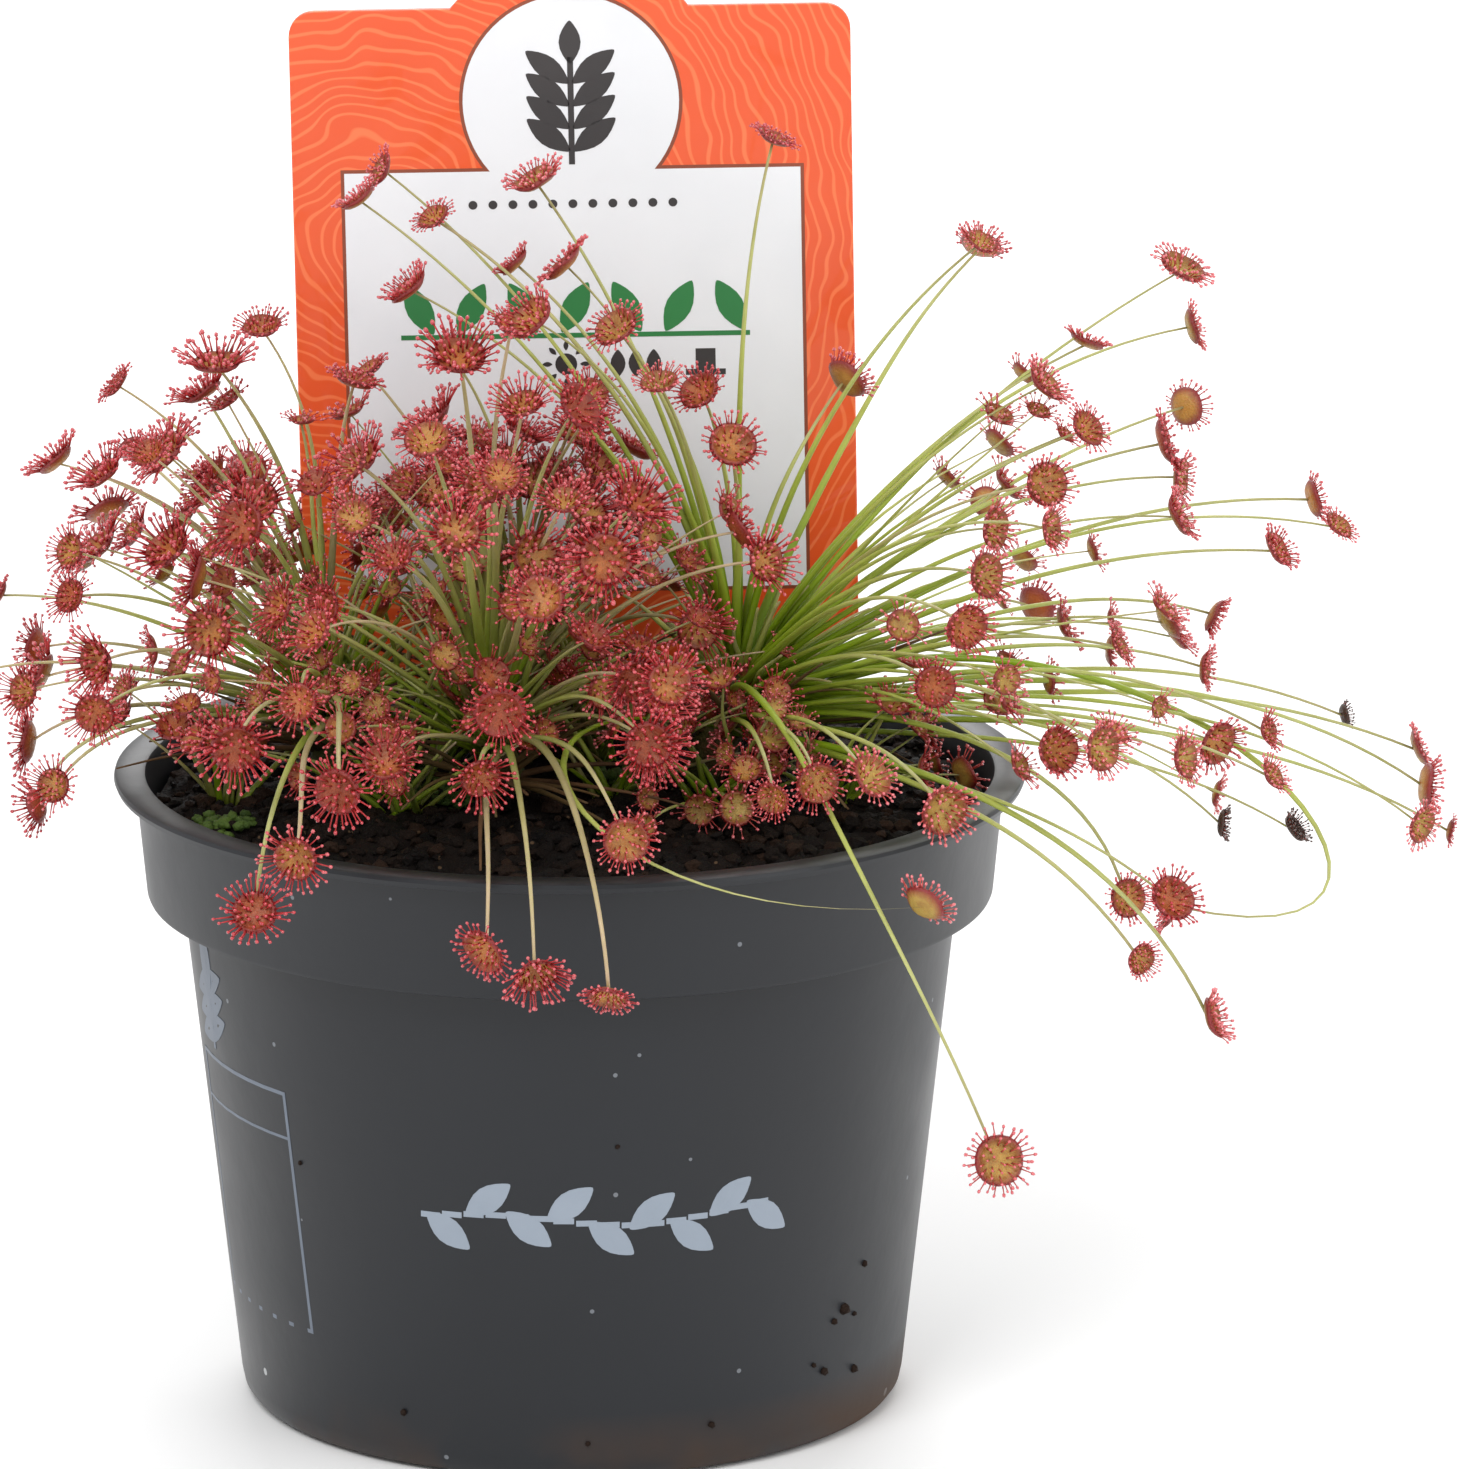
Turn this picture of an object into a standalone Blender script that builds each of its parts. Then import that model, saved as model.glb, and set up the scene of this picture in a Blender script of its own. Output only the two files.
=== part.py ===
"""Sundew plant in a round plastic nursery pot, with its peat and its stick-in label.

Four rosettes stand in the peat. Each leaf is a long thin petiole that ends in one round
trap. The frame is +Z up, with the origin at the middle of the pot's base.
"""

import math
import random

import bmesh
import bpy
import numpy as np
from mathutils import Matrix, Vector

MM = 0.001
GAP = 0.35 * MM  # play left between pieces that touch

# Pot: a low 9 cm nursery pot with a plain band and a thin flared lip
POT_HEIGHT = 63.5 * MM
LIP_RADIUS = 45.0 * MM
LIP_THICKNESS = 1.1 * MM
BAND_RADIUS = 42.9 * MM
BAND_FOOT_RADIUS = 41.8 * MM
BAND_HEIGHT = 12.5 * MM
BODY_RADIUS = 38.3 * MM
BASE_RADIUS = 33.0 * MM
WALL = 1.1 * MM
POT_STEPS = 36
RING_FOOT_RADIUS = 26.0 * MM
BOSS_RADIUS = 9.0 * MM
RECESS = 1.2 * MM
DRAIN_COUNT = 6
DRAIN_RADIUS = 2.4 * MM
DRAIN_CIRCLE = 17.0 * MM

# Peat
PEAT_TOP = 59.8 * MM
PEAT_DOME = 1.6 * MM
PEAT_STEPS = 36
PEAT_RINGS = (36.0, 30.0, 23.0, 16.0, 9.0)  # radii of the rings of its surface, in millimetres
STEM_HOLE_FLOOR = 49.0 * MM

# Label: a flat plastic card on a pointed stake, pushed in behind the rosettes
LABEL_Y = 27.0 * MM
LABEL_X = 1.0 * MM
LABEL_LEAN = math.radians(-0.95)
LABEL_THICKNESS = 0.8 * MM
LABEL_WIDTH = 56.0 * MM
LABEL_SHOULDER = 134.5 * MM
LABEL_CORNER = 2.6 * MM
LABEL_ARCH_CENTRE = 125.0 * MM
LABEL_ARCH_RADIUS = 15.2 * MM
LABEL_CARD_FOOT = 68.0 * MM
LABEL_NECK = 61.5 * MM
STAKE_WIDTH = 15.0 * MM
STAKE_TIP = 16.0 * MM
STAKE_SHOULDER = 26.0 * MM

# Leaves
SEED = 21
STEM_RADIUS = 2.1 * MM
CROWN_RADIUS = 3.0 * MM
PETIOLE_ROOT_RADIUS = 0.72 * MM
PETIOLE_TIP_RADIUS = 0.43 * MM
PETIOLE_SEGMENTS = 5
TRAP_RADIUS = 3.5 * MM
LAMINA_RADIUS = 2.2 * MM
TRAP_TEETH = 6
CLEARANCE = 0.5 * MM
TRIES = 60

# Each rosette: where its stem stands, where its crown ends, how many more leaves the rule
# adds, the compass sector, reach and rise that they keep to (degrees from +X, millimetres),
# and how large its traps are.
ROSETTES = {
    "rosette_right": {
        "foot": (13.0, 1.0), "crown": (17.0, 2.0, 73.0), "fill": 16, "size": (0.72, 1.1),
        "sector": (-60.0, 132.0), "reach": (32.0, 62.0), "rise": (-2.0, 48.0),
    },
    "rosette_middle": {
        "foot": (-6.0, -5.0), "crown": (-8.0, -6.0, 70.0), "fill": 16, "size": (0.86, 1.2),
        "sector": (180.0, 355.0), "reach": (20.0, 38.0), "rise": (4.0, 66.0),
    },
    "rosette_left": {
        "foot": (-23.0, 3.0), "crown": (-24.0, 3.0, 71.0), "fill": 15, "size": (0.78, 1.18),
        "sector": (80.0, 250.0), "reach": (22.0, 38.0), "rise": (-4.0, 64.0),
    },
    "rosette_back": {
        "foot": (-5.0, 12.0), "crown": (-5.0, 12.0, 71.0), "fill": 34, "size": (0.8, 1.15),
        "sector": (150.0, 390.0), "reach": (13.0, 29.0), "rise": (18.0, 80.0),
    },
}

# Tips of the leaves that stand out to the eye, in millimetres (x, y, z).
PLACED_TIPS = {
    "rosette_right": (
        (40, -5, 117), (60, 6, 112), (46, -10, 104), (50, -16, 101), (58, 0, 96), (46, -22, 97),
        (46, -32, 95), (59, -10, 91), (73, 6, 89), (75, -6, 89), (38, -38, 87), (40, -26, 89),
        (59, 12, 75), (64, 20, 74), (62, -6, 75), (53, -22, 81), (68, -12, 70), (68, -22, 68),
        (59, -30, 72), (63, -12, 69), (51, -34, 74), (77, 14, 65), (84, 8, 63), (84, -2, 62),
        (83, -13, 61), (87, 3, 56), (63, -24, 64), (71, -8, 59), (54, -26, 57), (58, -34, 59),
        (53, -42, 54), (58, -33, 46), (36, -38, 69), (29, -38, 72),
        (24, -35, 71), (20, -37, 70), (20, 6, 125), (27, 10, 100), (16, -10, 98), (9, -14, 105),
        (13, -4, 102), (5, -12, 110), (-3, -17, 112), (0, -6, 115), (-5, 4, 113), (-3, 0, 122),
        (-13, 2, 118), (-18, 6, 122), (-20, -4, 121), (-15, -8, 113),
    ),
    "rosette_middle": (
        (-10, -16, 108), (-10, -8, 111), (-13, -26, 102), (-4, -24, 105), (1, -20, 104),
        (4, -40, 94), (-2, -40, 90), (-10, -38, 96), (-16, -36, 93), (-20, -28, 95),
        (-20, -18, 98), (-6, -32, 100), (0, -30, 97), (7, -26, 96), (-7, -50, 59), (0, -51, 56),
        (5, -50, 55), (7, -49, 66), (4, -35, 72), (-8, -37, 72), (-6, -39, 79), (10, -35, 71),
        (10, -37, 81),
    ),
    "rosette_left": (
        (-30, 2, 107), (-34, -6, 105), (-36, 8, 99), (-21, 0, 102), (-50, 0, 94), (-45, -10, 95),
        (-40, -18, 99), (-40, 10, 93), (-31, -22, 93), (-48, -12, 88), (-46, 2, 85),
        (-43, 12, 84), (-56, 3, 80), (-48, -14, 84), (-34, -28, 84), (-53, -8, 73), (-52, 6, 71),
        (-45, -20, 79), (-45, -28, 76), (-53, 0, 66), (-50, -14, 65), (-52, -6, 61),
        (-29, -50, 62), (-25, -48, 67), (-21, -46, 73), (-25, -40, 80), (-31, -41, 76),
    ),
    "rosette_back": ((-20, 14, 100), (-12, 10, 103), (2, 8, 99), (6, 14, 92)),
}

# Leaves that curl round on themselves, as the four points of their curves, in millimetres.
CURLED = {
    "rosette_right": (
        ((16, 0, 67), (-12, -14, 78), (-2, -62, 63), (34, -44, 61)),
        ((17, 1, 70), (60, -6, 90), (96, -14, 44), (59, -18, 54)),
        ((16, 0, 70), (16, -22, 84), (30, -46, 64), (41, -54, 39)),
    ),
}


# The leaf rule


def direction(azimuth, elevation):
    """Unit vector from a compass angle and a height angle, both in radians."""
    flat = math.cos(elevation)
    return np.array([math.cos(azimuth) * flat, math.sin(azimuth) * flat, math.sin(elevation)])


def bezier(p0, p1, p2, p3, count):
    """Points along one cubic curve."""
    t = np.linspace(0.0, 1.0, count)[:, None]
    s = 1.0 - t
    return p0 * s**3 + 3 * p1 * s**2 * t + 3 * p2 * s * t**2 + p3 * t**3


def leaf_toward(rosette, tip, arch):
    """A leaf of the rosette that ends at tip and bows by the angle arch."""
    foot_x, foot_y = rosette["foot"]
    crown = np.array(rosette["crown"]) * MM
    foot = np.array([foot_x * MM, foot_y * MM, PEAT_TOP + PEAT_DOME])
    reach = tip - crown
    chord = math.atan2(reach[2], math.hypot(reach[0], reach[1]))
    azimuth = math.atan2(reach[1], reach[0])
    height = min(1.0, max(0.0, (math.degrees(chord) + 35.0) / 80.0))
    root = foot + (crown - foot) * (0.38 + 0.5 * height)
    length = float(np.linalg.norm(tip - root))
    over_lip = math.hypot(tip[0], tip[1]) < LIP_RADIUS + 15.0 * MM
    droop = max(0.0, -chord - math.radians(4.0)) if over_lip else 0.0
    out = direction(azimuth, min(chord + arch + 1.7 * droop, math.radians(86.0)))
    down = direction(azimuth, max(chord - 1.15 * arch - 2.2 * droop, math.radians(-78.0)))
    curve = (root, root + out * length * 0.36, tip - down * length * 0.34, tip)
    return {"curve": curve, "length": length, "end": down}


def curled_leaf(points, shift):
    """A leaf whose whole curve is given. The shift moves its outer half."""
    root, out, back, tip = (np.array(point) * MM for point in points)
    back, tip = back + shift, tip + shift
    end = (tip - back) / np.linalg.norm(tip - back)
    return {"curve": (root, out, back, tip), "length": float(np.linalg.norm(tip - root)), "end": end}


def trap_axis(leaf, rng):
    """The way that a trap faces: out along its petiole, turned up, and a little at random."""
    wobble = np.array([rng.uniform(-1, 1), rng.uniform(-1, 1), rng.uniform(-1, 1)])
    end = leaf["end"] * np.array([1.0, 1.0, 0.25 if leaf["end"][2] < 0.0 else 1.0])
    axis = end / np.linalg.norm(end) + 0.3 * np.array([0.0, 0.0, 1.0]) + 0.5 * wobble
    return axis / np.linalg.norm(axis)


def disc_points(centre, axis, radius):
    """The middle and three rings of a trap, used to keep it clear of its neighbours."""
    side = np.cross(axis, [0.0, 0.0, 1.0] if abs(axis[2]) < 0.9 else [1.0, 0.0, 0.0])
    side = side / np.linalg.norm(side)
    across = np.cross(axis, side)
    points = [centre]
    for share, count in ((0.36, 6), (0.7, 10), (1.0, 16)):
        for step in range(count):
            turn = 2.0 * math.pi * step / count
            arm = side * math.cos(turn) + across * math.sin(turn)
            points.append(centre + arm * radius * share)
    return np.array(points)


def clear_of_holder(points, margin):
    """True if no point lies in the pot's wall, in the peat or in the label."""
    radius = np.hypot(points[:, 0], points[:, 1])
    height = points[:, 2]
    wall = (radius > LIP_RADIUS - 4.2 * MM - margin) & (radius < LIP_RADIUS + margin)
    if (wall & (height < POT_HEIGHT + margin)).any():
        return False
    peat = (radius < LIP_RADIUS) & (radius > 5.0 * MM)
    if (peat & (height < PEAT_TOP + PEAT_DOME + 0.9 * MM + margin)).any():
        return False
    card = (np.abs(points[:, 1] - LABEL_Y) < LABEL_THICKNESS / 2 + 0.5 * MM + margin)
    card &= np.abs(points[:, 0] - LABEL_X) < LABEL_WIDTH / 2 + 1.5 * MM + margin
    return not card.any()


def nearest(points, others):
    """The shortest distance between two clouds of points."""
    if not len(others):
        return math.inf
    squares = (points**2).sum(1)[:, None] + (others**2).sum(1)[None] - 2.0 * points @ others.T
    return math.sqrt(max(0.0, float(squares.min())))


def leaf_fits(leaf, own, taken):
    """True if the leaf is clear of the pot, the peat, the label and every other rosette."""
    stalk, trap = leaf["stalk"], leaf["disc"]
    away = stalk[8:]
    if not clear_of_holder(away, PETIOLE_ROOT_RADIUS + CLEARANCE):
        return False
    if not clear_of_holder(trap, 0.5 * MM + CLEARANCE):
        return False
    thick = 2.0 * PETIOLE_ROOT_RADIUS + CLEARANCE + 0.2 * MM
    for name, group in taken.items():
        if name == own or not group:
            continue
        stalks = np.concatenate([other["stalk"] for other in group])
        traps = np.concatenate([other["disc"] for other in group])
        if nearest(stalk, stalks) < thick or nearest(trap, traps) < 1.5 * MM:
            return False
        if nearest(stalk, traps) < thick or nearest(trap, stalks) < thick:
            return False
    return True


def try_leaf(rosette, name, tip, arch, size, rng, taken, curl=None):
    """Places one leaf, and moves its tip a little further at each try until it is clear."""
    for attempt in range(TRIES):
        spread = 0.16 * MM * attempt
        shift = np.array([rng.uniform(-1, 1), rng.uniform(-1, 1), rng.uniform(-1, 1)])
        bow = arch + math.radians(0.5 * attempt) * rng.uniform(-0.6, 1.0)
        if curl is None:
            leaf = leaf_toward(rosette, tip + spread * shift, bow)
        else:
            leaf = curled_leaf(curl, spread * shift)
        leaf["size"] = size
        leaf["axis"] = trap_axis(leaf, rng)
        leaf["stalk"] = bezier(*leaf["curve"], 46)
        leaf["disc"] = disc_points(leaf["curve"][3], leaf["axis"], TRAP_RADIUS * size)
        if leaf_fits(leaf, name, taken):
            taken[name].append(leaf)
            return True
    return False


def grow_leaves():
    """All leaves of all rosettes: the placed ones first, then those that the rule adds."""
    rng = random.Random(SEED)
    taken = {name: [] for name in ROSETTES}
    for name, curls in CURLED.items():
        for curl in curls:
            try_leaf(ROSETTES[name], name, None, 0.0, 1.0, rng, taken, curl)
    for name, tips in PLACED_TIPS.items():
        for tip in tips:
            arch = math.radians(rng.uniform(10.0, 24.0))
            size = rng.uniform(*ROSETTES[name]["size"])
            try_leaf(ROSETTES[name], name, np.array(tip) * MM, arch, size, rng, taken)
    for name, rosette in ROSETTES.items():
        low, high = rosette["sector"]
        for number in range(rosette["fill"]):
            share = (number + rng.uniform(0.2, 0.8)) / rosette["fill"]
            azimuth = math.radians(low + (high - low) * share)
            rise = math.radians(rng.uniform(*rosette["rise"]))
            reach = rng.uniform(*rosette["reach"]) * MM
            tip = np.array(rosette["crown"]) * MM + direction(azimuth, rise) * reach
            arch = math.radians(rng.uniform(10.0, 26.0))
            size = rng.uniform(*rosette["size"])
            try_leaf(rosette, name, tip, arch, size, rng, taken)
    return taken


# Helpers for Blender objects


def clear_scene():
    for old in list(bpy.data.objects):
        bpy.data.objects.remove(old)


def new_collection(name):
    made = bpy.data.collections.new(name)
    bpy.context.scene.collection.children.link(made)
    return made


def material(name, colour, roughness):
    made = bpy.data.materials.new(name)
    made.use_nodes = True
    shader = made.node_tree.nodes["Principled BSDF"]
    shader.inputs["Base Color"].default_value = (*colour, 1.0)
    shader.inputs["Roughness"].default_value = roughness
    shader.inputs["Metallic"].default_value = 0.0
    return made


def object_of(name, data, collection, finish=None):
    made = bpy.data.objects.new(name, data)
    collection.objects.link(made)
    if finish is not None:
        made.data.materials.append(finish)
    return made


def baked(source, name, collection, finish):
    """A mesh object of what the source's curve or modifiers make. The source is removed."""
    bpy.context.view_layer.update()
    graph = bpy.context.evaluated_depsgraph_get()
    data = bpy.data.meshes.new_from_object(source.evaluated_get(graph))
    data.transform(source.matrix_world)
    shape = bmesh.new()
    shape.from_mesh(data)
    bmesh.ops.remove_doubles(shape, verts=shape.verts, dist=0.001 * MM)
    bmesh.ops.recalc_face_normals(shape, faces=shape.faces)
    shape.to_mesh(data)
    shape.free()
    data.materials.clear()
    bpy.data.objects.remove(source)
    data.name = name
    return object_of(name, data, collection, finish)


def turned(name, profile, steps, collection, finish):
    """A profile of (radius, height) points turned about Z."""
    data = bpy.data.meshes.new(name)
    edges = [(i, i + 1) for i in range(len(profile) - 1)]
    data.from_pydata([(r, 0.0, z) for r, z in profile], edges, [])
    made = object_of(name + "_profile", data, collection)
    screw = made.modifiers.new("Turn", "SCREW")
    screw.steps = steps
    screw.render_steps = steps
    screw.use_merge_vertices = True
    screw.merge_threshold = 0.00001
    return baked(made, name, collection, finish)


def tube(name, points, radii, sides, collection, finish=None):
    """A tube along points, with a radius at each of them and flat closed ends."""
    section = bpy.data.curves.new(name + "_section", "CURVE")
    section.dimensions = "2D"
    ring = section.splines.new("POLY")
    ring.points.add(sides - 1)
    for i, point in enumerate(ring.points):
        turn = -2.0 * math.pi * i / sides
        point.co = (math.cos(turn), math.sin(turn), 0.0, 1.0)
    ring.use_cyclic_u = True
    section_object = object_of(name + "_section", section, collection)
    path = bpy.data.curves.new(name + "_path", "CURVE")
    path.dimensions = "3D"
    path.bevel_mode = "OBJECT"
    path.bevel_object = section_object
    path.use_fill_caps = True
    line = path.splines.new("POLY")
    line.points.add(len(points) - 1)
    for spot, place, radius in zip(line.points, points, radii):
        spot.co = (*place, 1.0)
        spot.radius = radius
    made = baked(object_of(name + "_path", path, collection), name, collection, finish)
    bpy.data.objects.remove(section_object)
    return made


def boolean(target, operation, name, cutters=None, cutter=None, solver="EXACT"):
    """Adds one Boolean to the target, applies it, and leaves its mesh welded."""
    step = target.modifiers.new(name, "BOOLEAN")
    step.operation = operation
    step.solver = solver
    if cutters is None:
        step.object = cutter
    else:
        step.operand_type = "COLLECTION"
        step.collection = cutters
    bpy.context.view_layer.update()
    graph = bpy.context.evaluated_depsgraph_get()
    data = bpy.data.meshes.new_from_object(target.evaluated_get(graph))
    target.modifiers.clear()
    target.data = data


# Pot and peat


def make_pot(collection, cutters, finish):
    band_foot = POT_HEIGHT - BAND_HEIGHT
    lip_under = POT_HEIGHT - LIP_THICKNESS
    floor = RECESS + WALL
    profile = (
        (0.0, floor),
        (BASE_RADIUS - WALL - 0.8 * MM, floor),
        (BASE_RADIUS - WALL, floor + 0.9 * MM),
        (BODY_RADIUS - WALL, band_foot - 0.4 * MM),
        (BAND_FOOT_RADIUS - WALL, band_foot + WALL),
        (BAND_RADIUS - WALL, POT_HEIGHT - 0.3 * MM),
        (BAND_RADIUS - WALL + 0.3 * MM, POT_HEIGHT),
        (LIP_RADIUS - 0.35 * MM, POT_HEIGHT),
        (LIP_RADIUS, POT_HEIGHT - 0.35 * MM),
        (LIP_RADIUS - 0.2 * MM, lip_under),
        (BAND_RADIUS, lip_under),
        (BAND_FOOT_RADIUS, band_foot + 0.4 * MM),
        (BAND_FOOT_RADIUS - 0.5 * MM, band_foot),
        (BODY_RADIUS, band_foot),
        (BASE_RADIUS, 2.2 * MM),
        (BASE_RADIUS - 0.7 * MM, 0.6 * MM),
        (BASE_RADIUS - 1.9 * MM, 0.0),
        (RING_FOOT_RADIUS, 0.0),
        (RING_FOOT_RADIUS - 1.0 * MM, RECESS),
        (BOSS_RADIUS + 1.0 * MM, RECESS),
        (BOSS_RADIUS, 0.0),
        (0.0, 0.0),
    )
    pot = turned("pot", profile, POT_STEPS, collection, finish)
    for number in range(DRAIN_COUNT):
        turn = 2.0 * math.pi * number / DRAIN_COUNT + 0.3
        shape = bmesh.new()
        bmesh.ops.create_cone(
            shape, cap_ends=True, segments=10, radius1=DRAIN_RADIUS, radius2=DRAIN_RADIUS, depth=8 * MM
        )
        data = bpy.data.meshes.new("drain_cutter")
        shape.to_mesh(data)
        shape.free()
        drain = object_of("drain_cutter", data, cutters)
        drain.location = (DRAIN_CIRCLE * math.cos(turn), DRAIN_CIRCLE * math.sin(turn), 1.5 * MM)
    boolean(pot, "DIFFERENCE", "Drains", cutters=cutters)
    for old in list(cutters.objects):
        bpy.data.objects.remove(old)
    pot.data.shade_smooth()
    pot.data.set_sharp_from_angle(angle=math.radians(35.0))
    return pot


def peat_height(x, y):
    """Height of the peat's rough, slightly domed surface."""
    radius = math.hypot(x, y)
    dome = PEAT_DOME * (1.0 - (radius / BAND_RADIUS) ** 2)
    rough = math.sin(x * 420.0 + 1.3) * math.cos(y * 510.0) + 0.6 * math.sin((x + y) * 900.0)
    return PEAT_TOP + dome + 0.35 * MM * rough


def make_peat(collection, cutters, finish):
    floor = RECESS + WALL + GAP
    band_foot = POT_HEIGHT - BAND_HEIGHT
    side = WALL + GAP
    rings = [(r * MM, PEAT_TOP) for r in PEAT_RINGS]
    profile = [
        (0.0, PEAT_TOP),
        *reversed(rings),
        (BAND_RADIUS - side - 0.9 * MM, PEAT_TOP - 0.5 * MM),
        (BAND_FOOT_RADIUS - side - 0.05 * MM, band_foot + WALL + 0.5 * MM),
        (BODY_RADIUS - side - 0.1 * MM, band_foot),
        (BASE_RADIUS - side - 0.5 * MM, floor + 1.0 * MM),
        (BASE_RADIUS - side - 1.4 * MM, floor),
        (0.0, floor),
    ]
    peat = turned("peat", profile, PEAT_STEPS, collection, finish)
    for vertex in peat.data.vertices:
        if vertex.co.z > PEAT_TOP - 0.1 * MM:
            vertex.co.z = peat_height(vertex.co.x, vertex.co.y)
    for name, rosette in ROSETTES.items():
        shape = bmesh.new()
        wide = STEM_RADIUS + GAP + 0.1 * MM
        tall = 20.0 * MM
        bmesh.ops.create_cone(
            shape, cap_ends=True, segments=10, radius1=wide, radius2=wide, depth=tall
        )
        data = bpy.data.meshes.new(name + "_hole")
        shape.to_mesh(data)
        shape.free()
        hole = object_of(name + "_hole", data, cutters)
        foot_x, foot_y = rosette["foot"]
        hole.location = (foot_x * MM, foot_y * MM, STEM_HOLE_FLOOR + tall / 2)
    shape = bmesh.new()
    bmesh.ops.create_cube(shape, size=1.0)
    slot_floor = STAKE_TIP - 1.0 * MM
    size = (STAKE_WIDTH + 2.4 * MM, LABEL_THICKNESS + 2 * GAP, 80.0 * MM - slot_floor)
    bmesh.ops.scale(shape, vec=size, verts=shape.verts)
    data = bpy.data.meshes.new("label_slot")
    shape.to_mesh(data)
    shape.free()
    slot = object_of("label_slot", data, cutters)
    slot.location = (LABEL_X + 0.5 * MM, LABEL_Y, (80.0 * MM + slot_floor) / 2)
    boolean(peat, "DIFFERENCE", "Holes", cutters=cutters)
    for old in list(cutters.objects):
        bpy.data.objects.remove(old)
    return peat


# Label


def arc(centre_x, centre_z, radius, start, end, count):
    """Points of a circular arc, from the angle start to the angle end, in degrees."""
    points = []
    for i in range(count + 1):
        turn = math.radians(start + (end - start) * i / count)
        points.append((centre_x + radius * math.cos(turn), centre_z + radius * math.sin(turn)))
    return points


def label_outline():
    """The card's outline, from the stake's tip up the right side and down the left."""
    half = LABEL_WIDTH / 2
    rise = LABEL_SHOULDER - LABEL_ARCH_CENTRE
    spring = math.degrees(math.asin(rise / LABEL_ARCH_RADIUS))
    right = [
        (0.0, STAKE_TIP),
        (STAKE_WIDTH / 2, STAKE_SHOULDER),
        (STAKE_WIDTH / 2, LABEL_NECK),
        (half - 5.0 * MM, LABEL_CARD_FOOT - 1.0 * MM),
        (half, LABEL_CARD_FOOT + 4.0 * MM),
    ]
    corner_z = LABEL_SHOULDER - LABEL_CORNER
    right += arc(half - LABEL_CORNER, corner_z, LABEL_CORNER, 0.0, 90.0, 4)
    right += arc(0.0, LABEL_ARCH_CENTRE, LABEL_ARCH_RADIUS, spring, 90.0, 6)
    left = [(-x, z) for x, z in reversed(right[1:-1])]
    return right + left


def make_label(collection, finish):
    data = bpy.data.curves.new("label_outline", "CURVE")
    data.dimensions = "2D"
    data.fill_mode = "BOTH"
    data.extrude = LABEL_THICKNESS / 2
    outline = label_outline()
    line = data.splines.new("POLY")
    line.points.add(len(outline) - 1)
    for point, (x, z) in zip(line.points, outline):
        point.co = (x, z, 0.0, 1.0)
    line.use_cyclic_u = True
    flat = object_of("label_outline", data, collection)
    pivot = Matrix.Translation((LABEL_X, LABEL_Y, PEAT_TOP))
    lean = Matrix.Rotation(LABEL_LEAN, 4, "Y")
    upright = Matrix.Rotation(math.radians(90.0), 4, "X")
    flat.matrix_world = pivot @ lean @ Matrix.Translation((0.0, 0.0, -PEAT_TOP)) @ upright
    return baked(flat, "label", collection, finish)


# Rosettes


def trap_mesh():
    """A shallow cup with a pointed rim: the round lamina and its fringe of tentacles."""
    shape = bmesh.new()
    bmesh.ops.create_uvsphere(shape, u_segments=2 * TRAP_TEETH, v_segments=2, radius=1.0)
    for vertex in shape.verts:
        flat = math.hypot(vertex.co.x, vertex.co.y)
        if flat < 0.5:
            vertex.co = (0.0, 0.0, 0.1 * MM if vertex.co.z > 0 else -0.85 * MM)
            continue
        step = round(math.atan2(vertex.co.y, vertex.co.x) / (math.pi / TRAP_TEETH))
        tooth = step % 2 == 0
        reach = TRAP_RADIUS if tooth else LAMINA_RADIUS
        vertex.co *= reach / flat
        vertex.co.z = 0.75 * MM if tooth else 0.3 * MM
    bmesh.ops.recalc_face_normals(shape, faces=shape.faces)
    data = bpy.data.meshes.new("trap")
    shape.to_mesh(data)
    shape.free()
    return data


def trap_matrix(leaf, number):
    """Where a trap stands: on its petiole's tip, facing along its axis."""
    turn = Vector(leaf["axis"]).to_track_quat("Z", "Y").to_matrix().to_4x4()
    spin = Matrix.Rotation(2.39996 * number, 4, "Z")
    place = Matrix.Translation(Vector(leaf["curve"][3]))
    return place @ turn @ spin @ Matrix.Diagonal((leaf["size"],) * 3).to_4x4()


def make_rosette(name, rosette, leaves, parts, finish):
    foot_x, foot_y = rosette["foot"]
    crown = Vector(rosette["crown"]) * MM
    ground = Vector((foot_x * MM, foot_y * MM, PEAT_TOP + 3.0 * MM))
    below = Vector((foot_x * MM, foot_y * MM, STEM_HOLE_FLOOR + GAP))
    middle = ground.lerp(crown, 0.55)
    line = [below, ground, middle, crown]
    radii = [STEM_RADIUS * 0.8, STEM_RADIUS, CROWN_RADIUS, STEM_RADIUS * 0.5]
    stem = tube(name, line, radii, 8, parts, finish)
    pieces = new_collection(name + "_leaves")
    trap = trap_mesh()
    for number, leaf in enumerate(leaves):
        line = bezier(*leaf["curve"], PETIOLE_SEGMENTS + 1)
        shares = [i / PETIOLE_SEGMENTS for i in range(PETIOLE_SEGMENTS + 1)]
        radii = [
            PETIOLE_ROOT_RADIUS + (PETIOLE_TIP_RADIUS - PETIOLE_ROOT_RADIUS) * s for s in shares
        ]
        tube(f"{name}_petiole_{number}", line, radii, 3, pieces)
        cup = object_of(f"{name}_trap_{number}", trap.copy(), pieces)
        cup.data.transform(trap_matrix(leaf, number))
    boolean(stem, "UNION", "Leaves", cutters=pieces, solver="MANIFOLD")
    for old in list(pieces.objects):
        bpy.data.objects.remove(old)
    bpy.data.collections.remove(pieces)
    return stem


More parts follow.
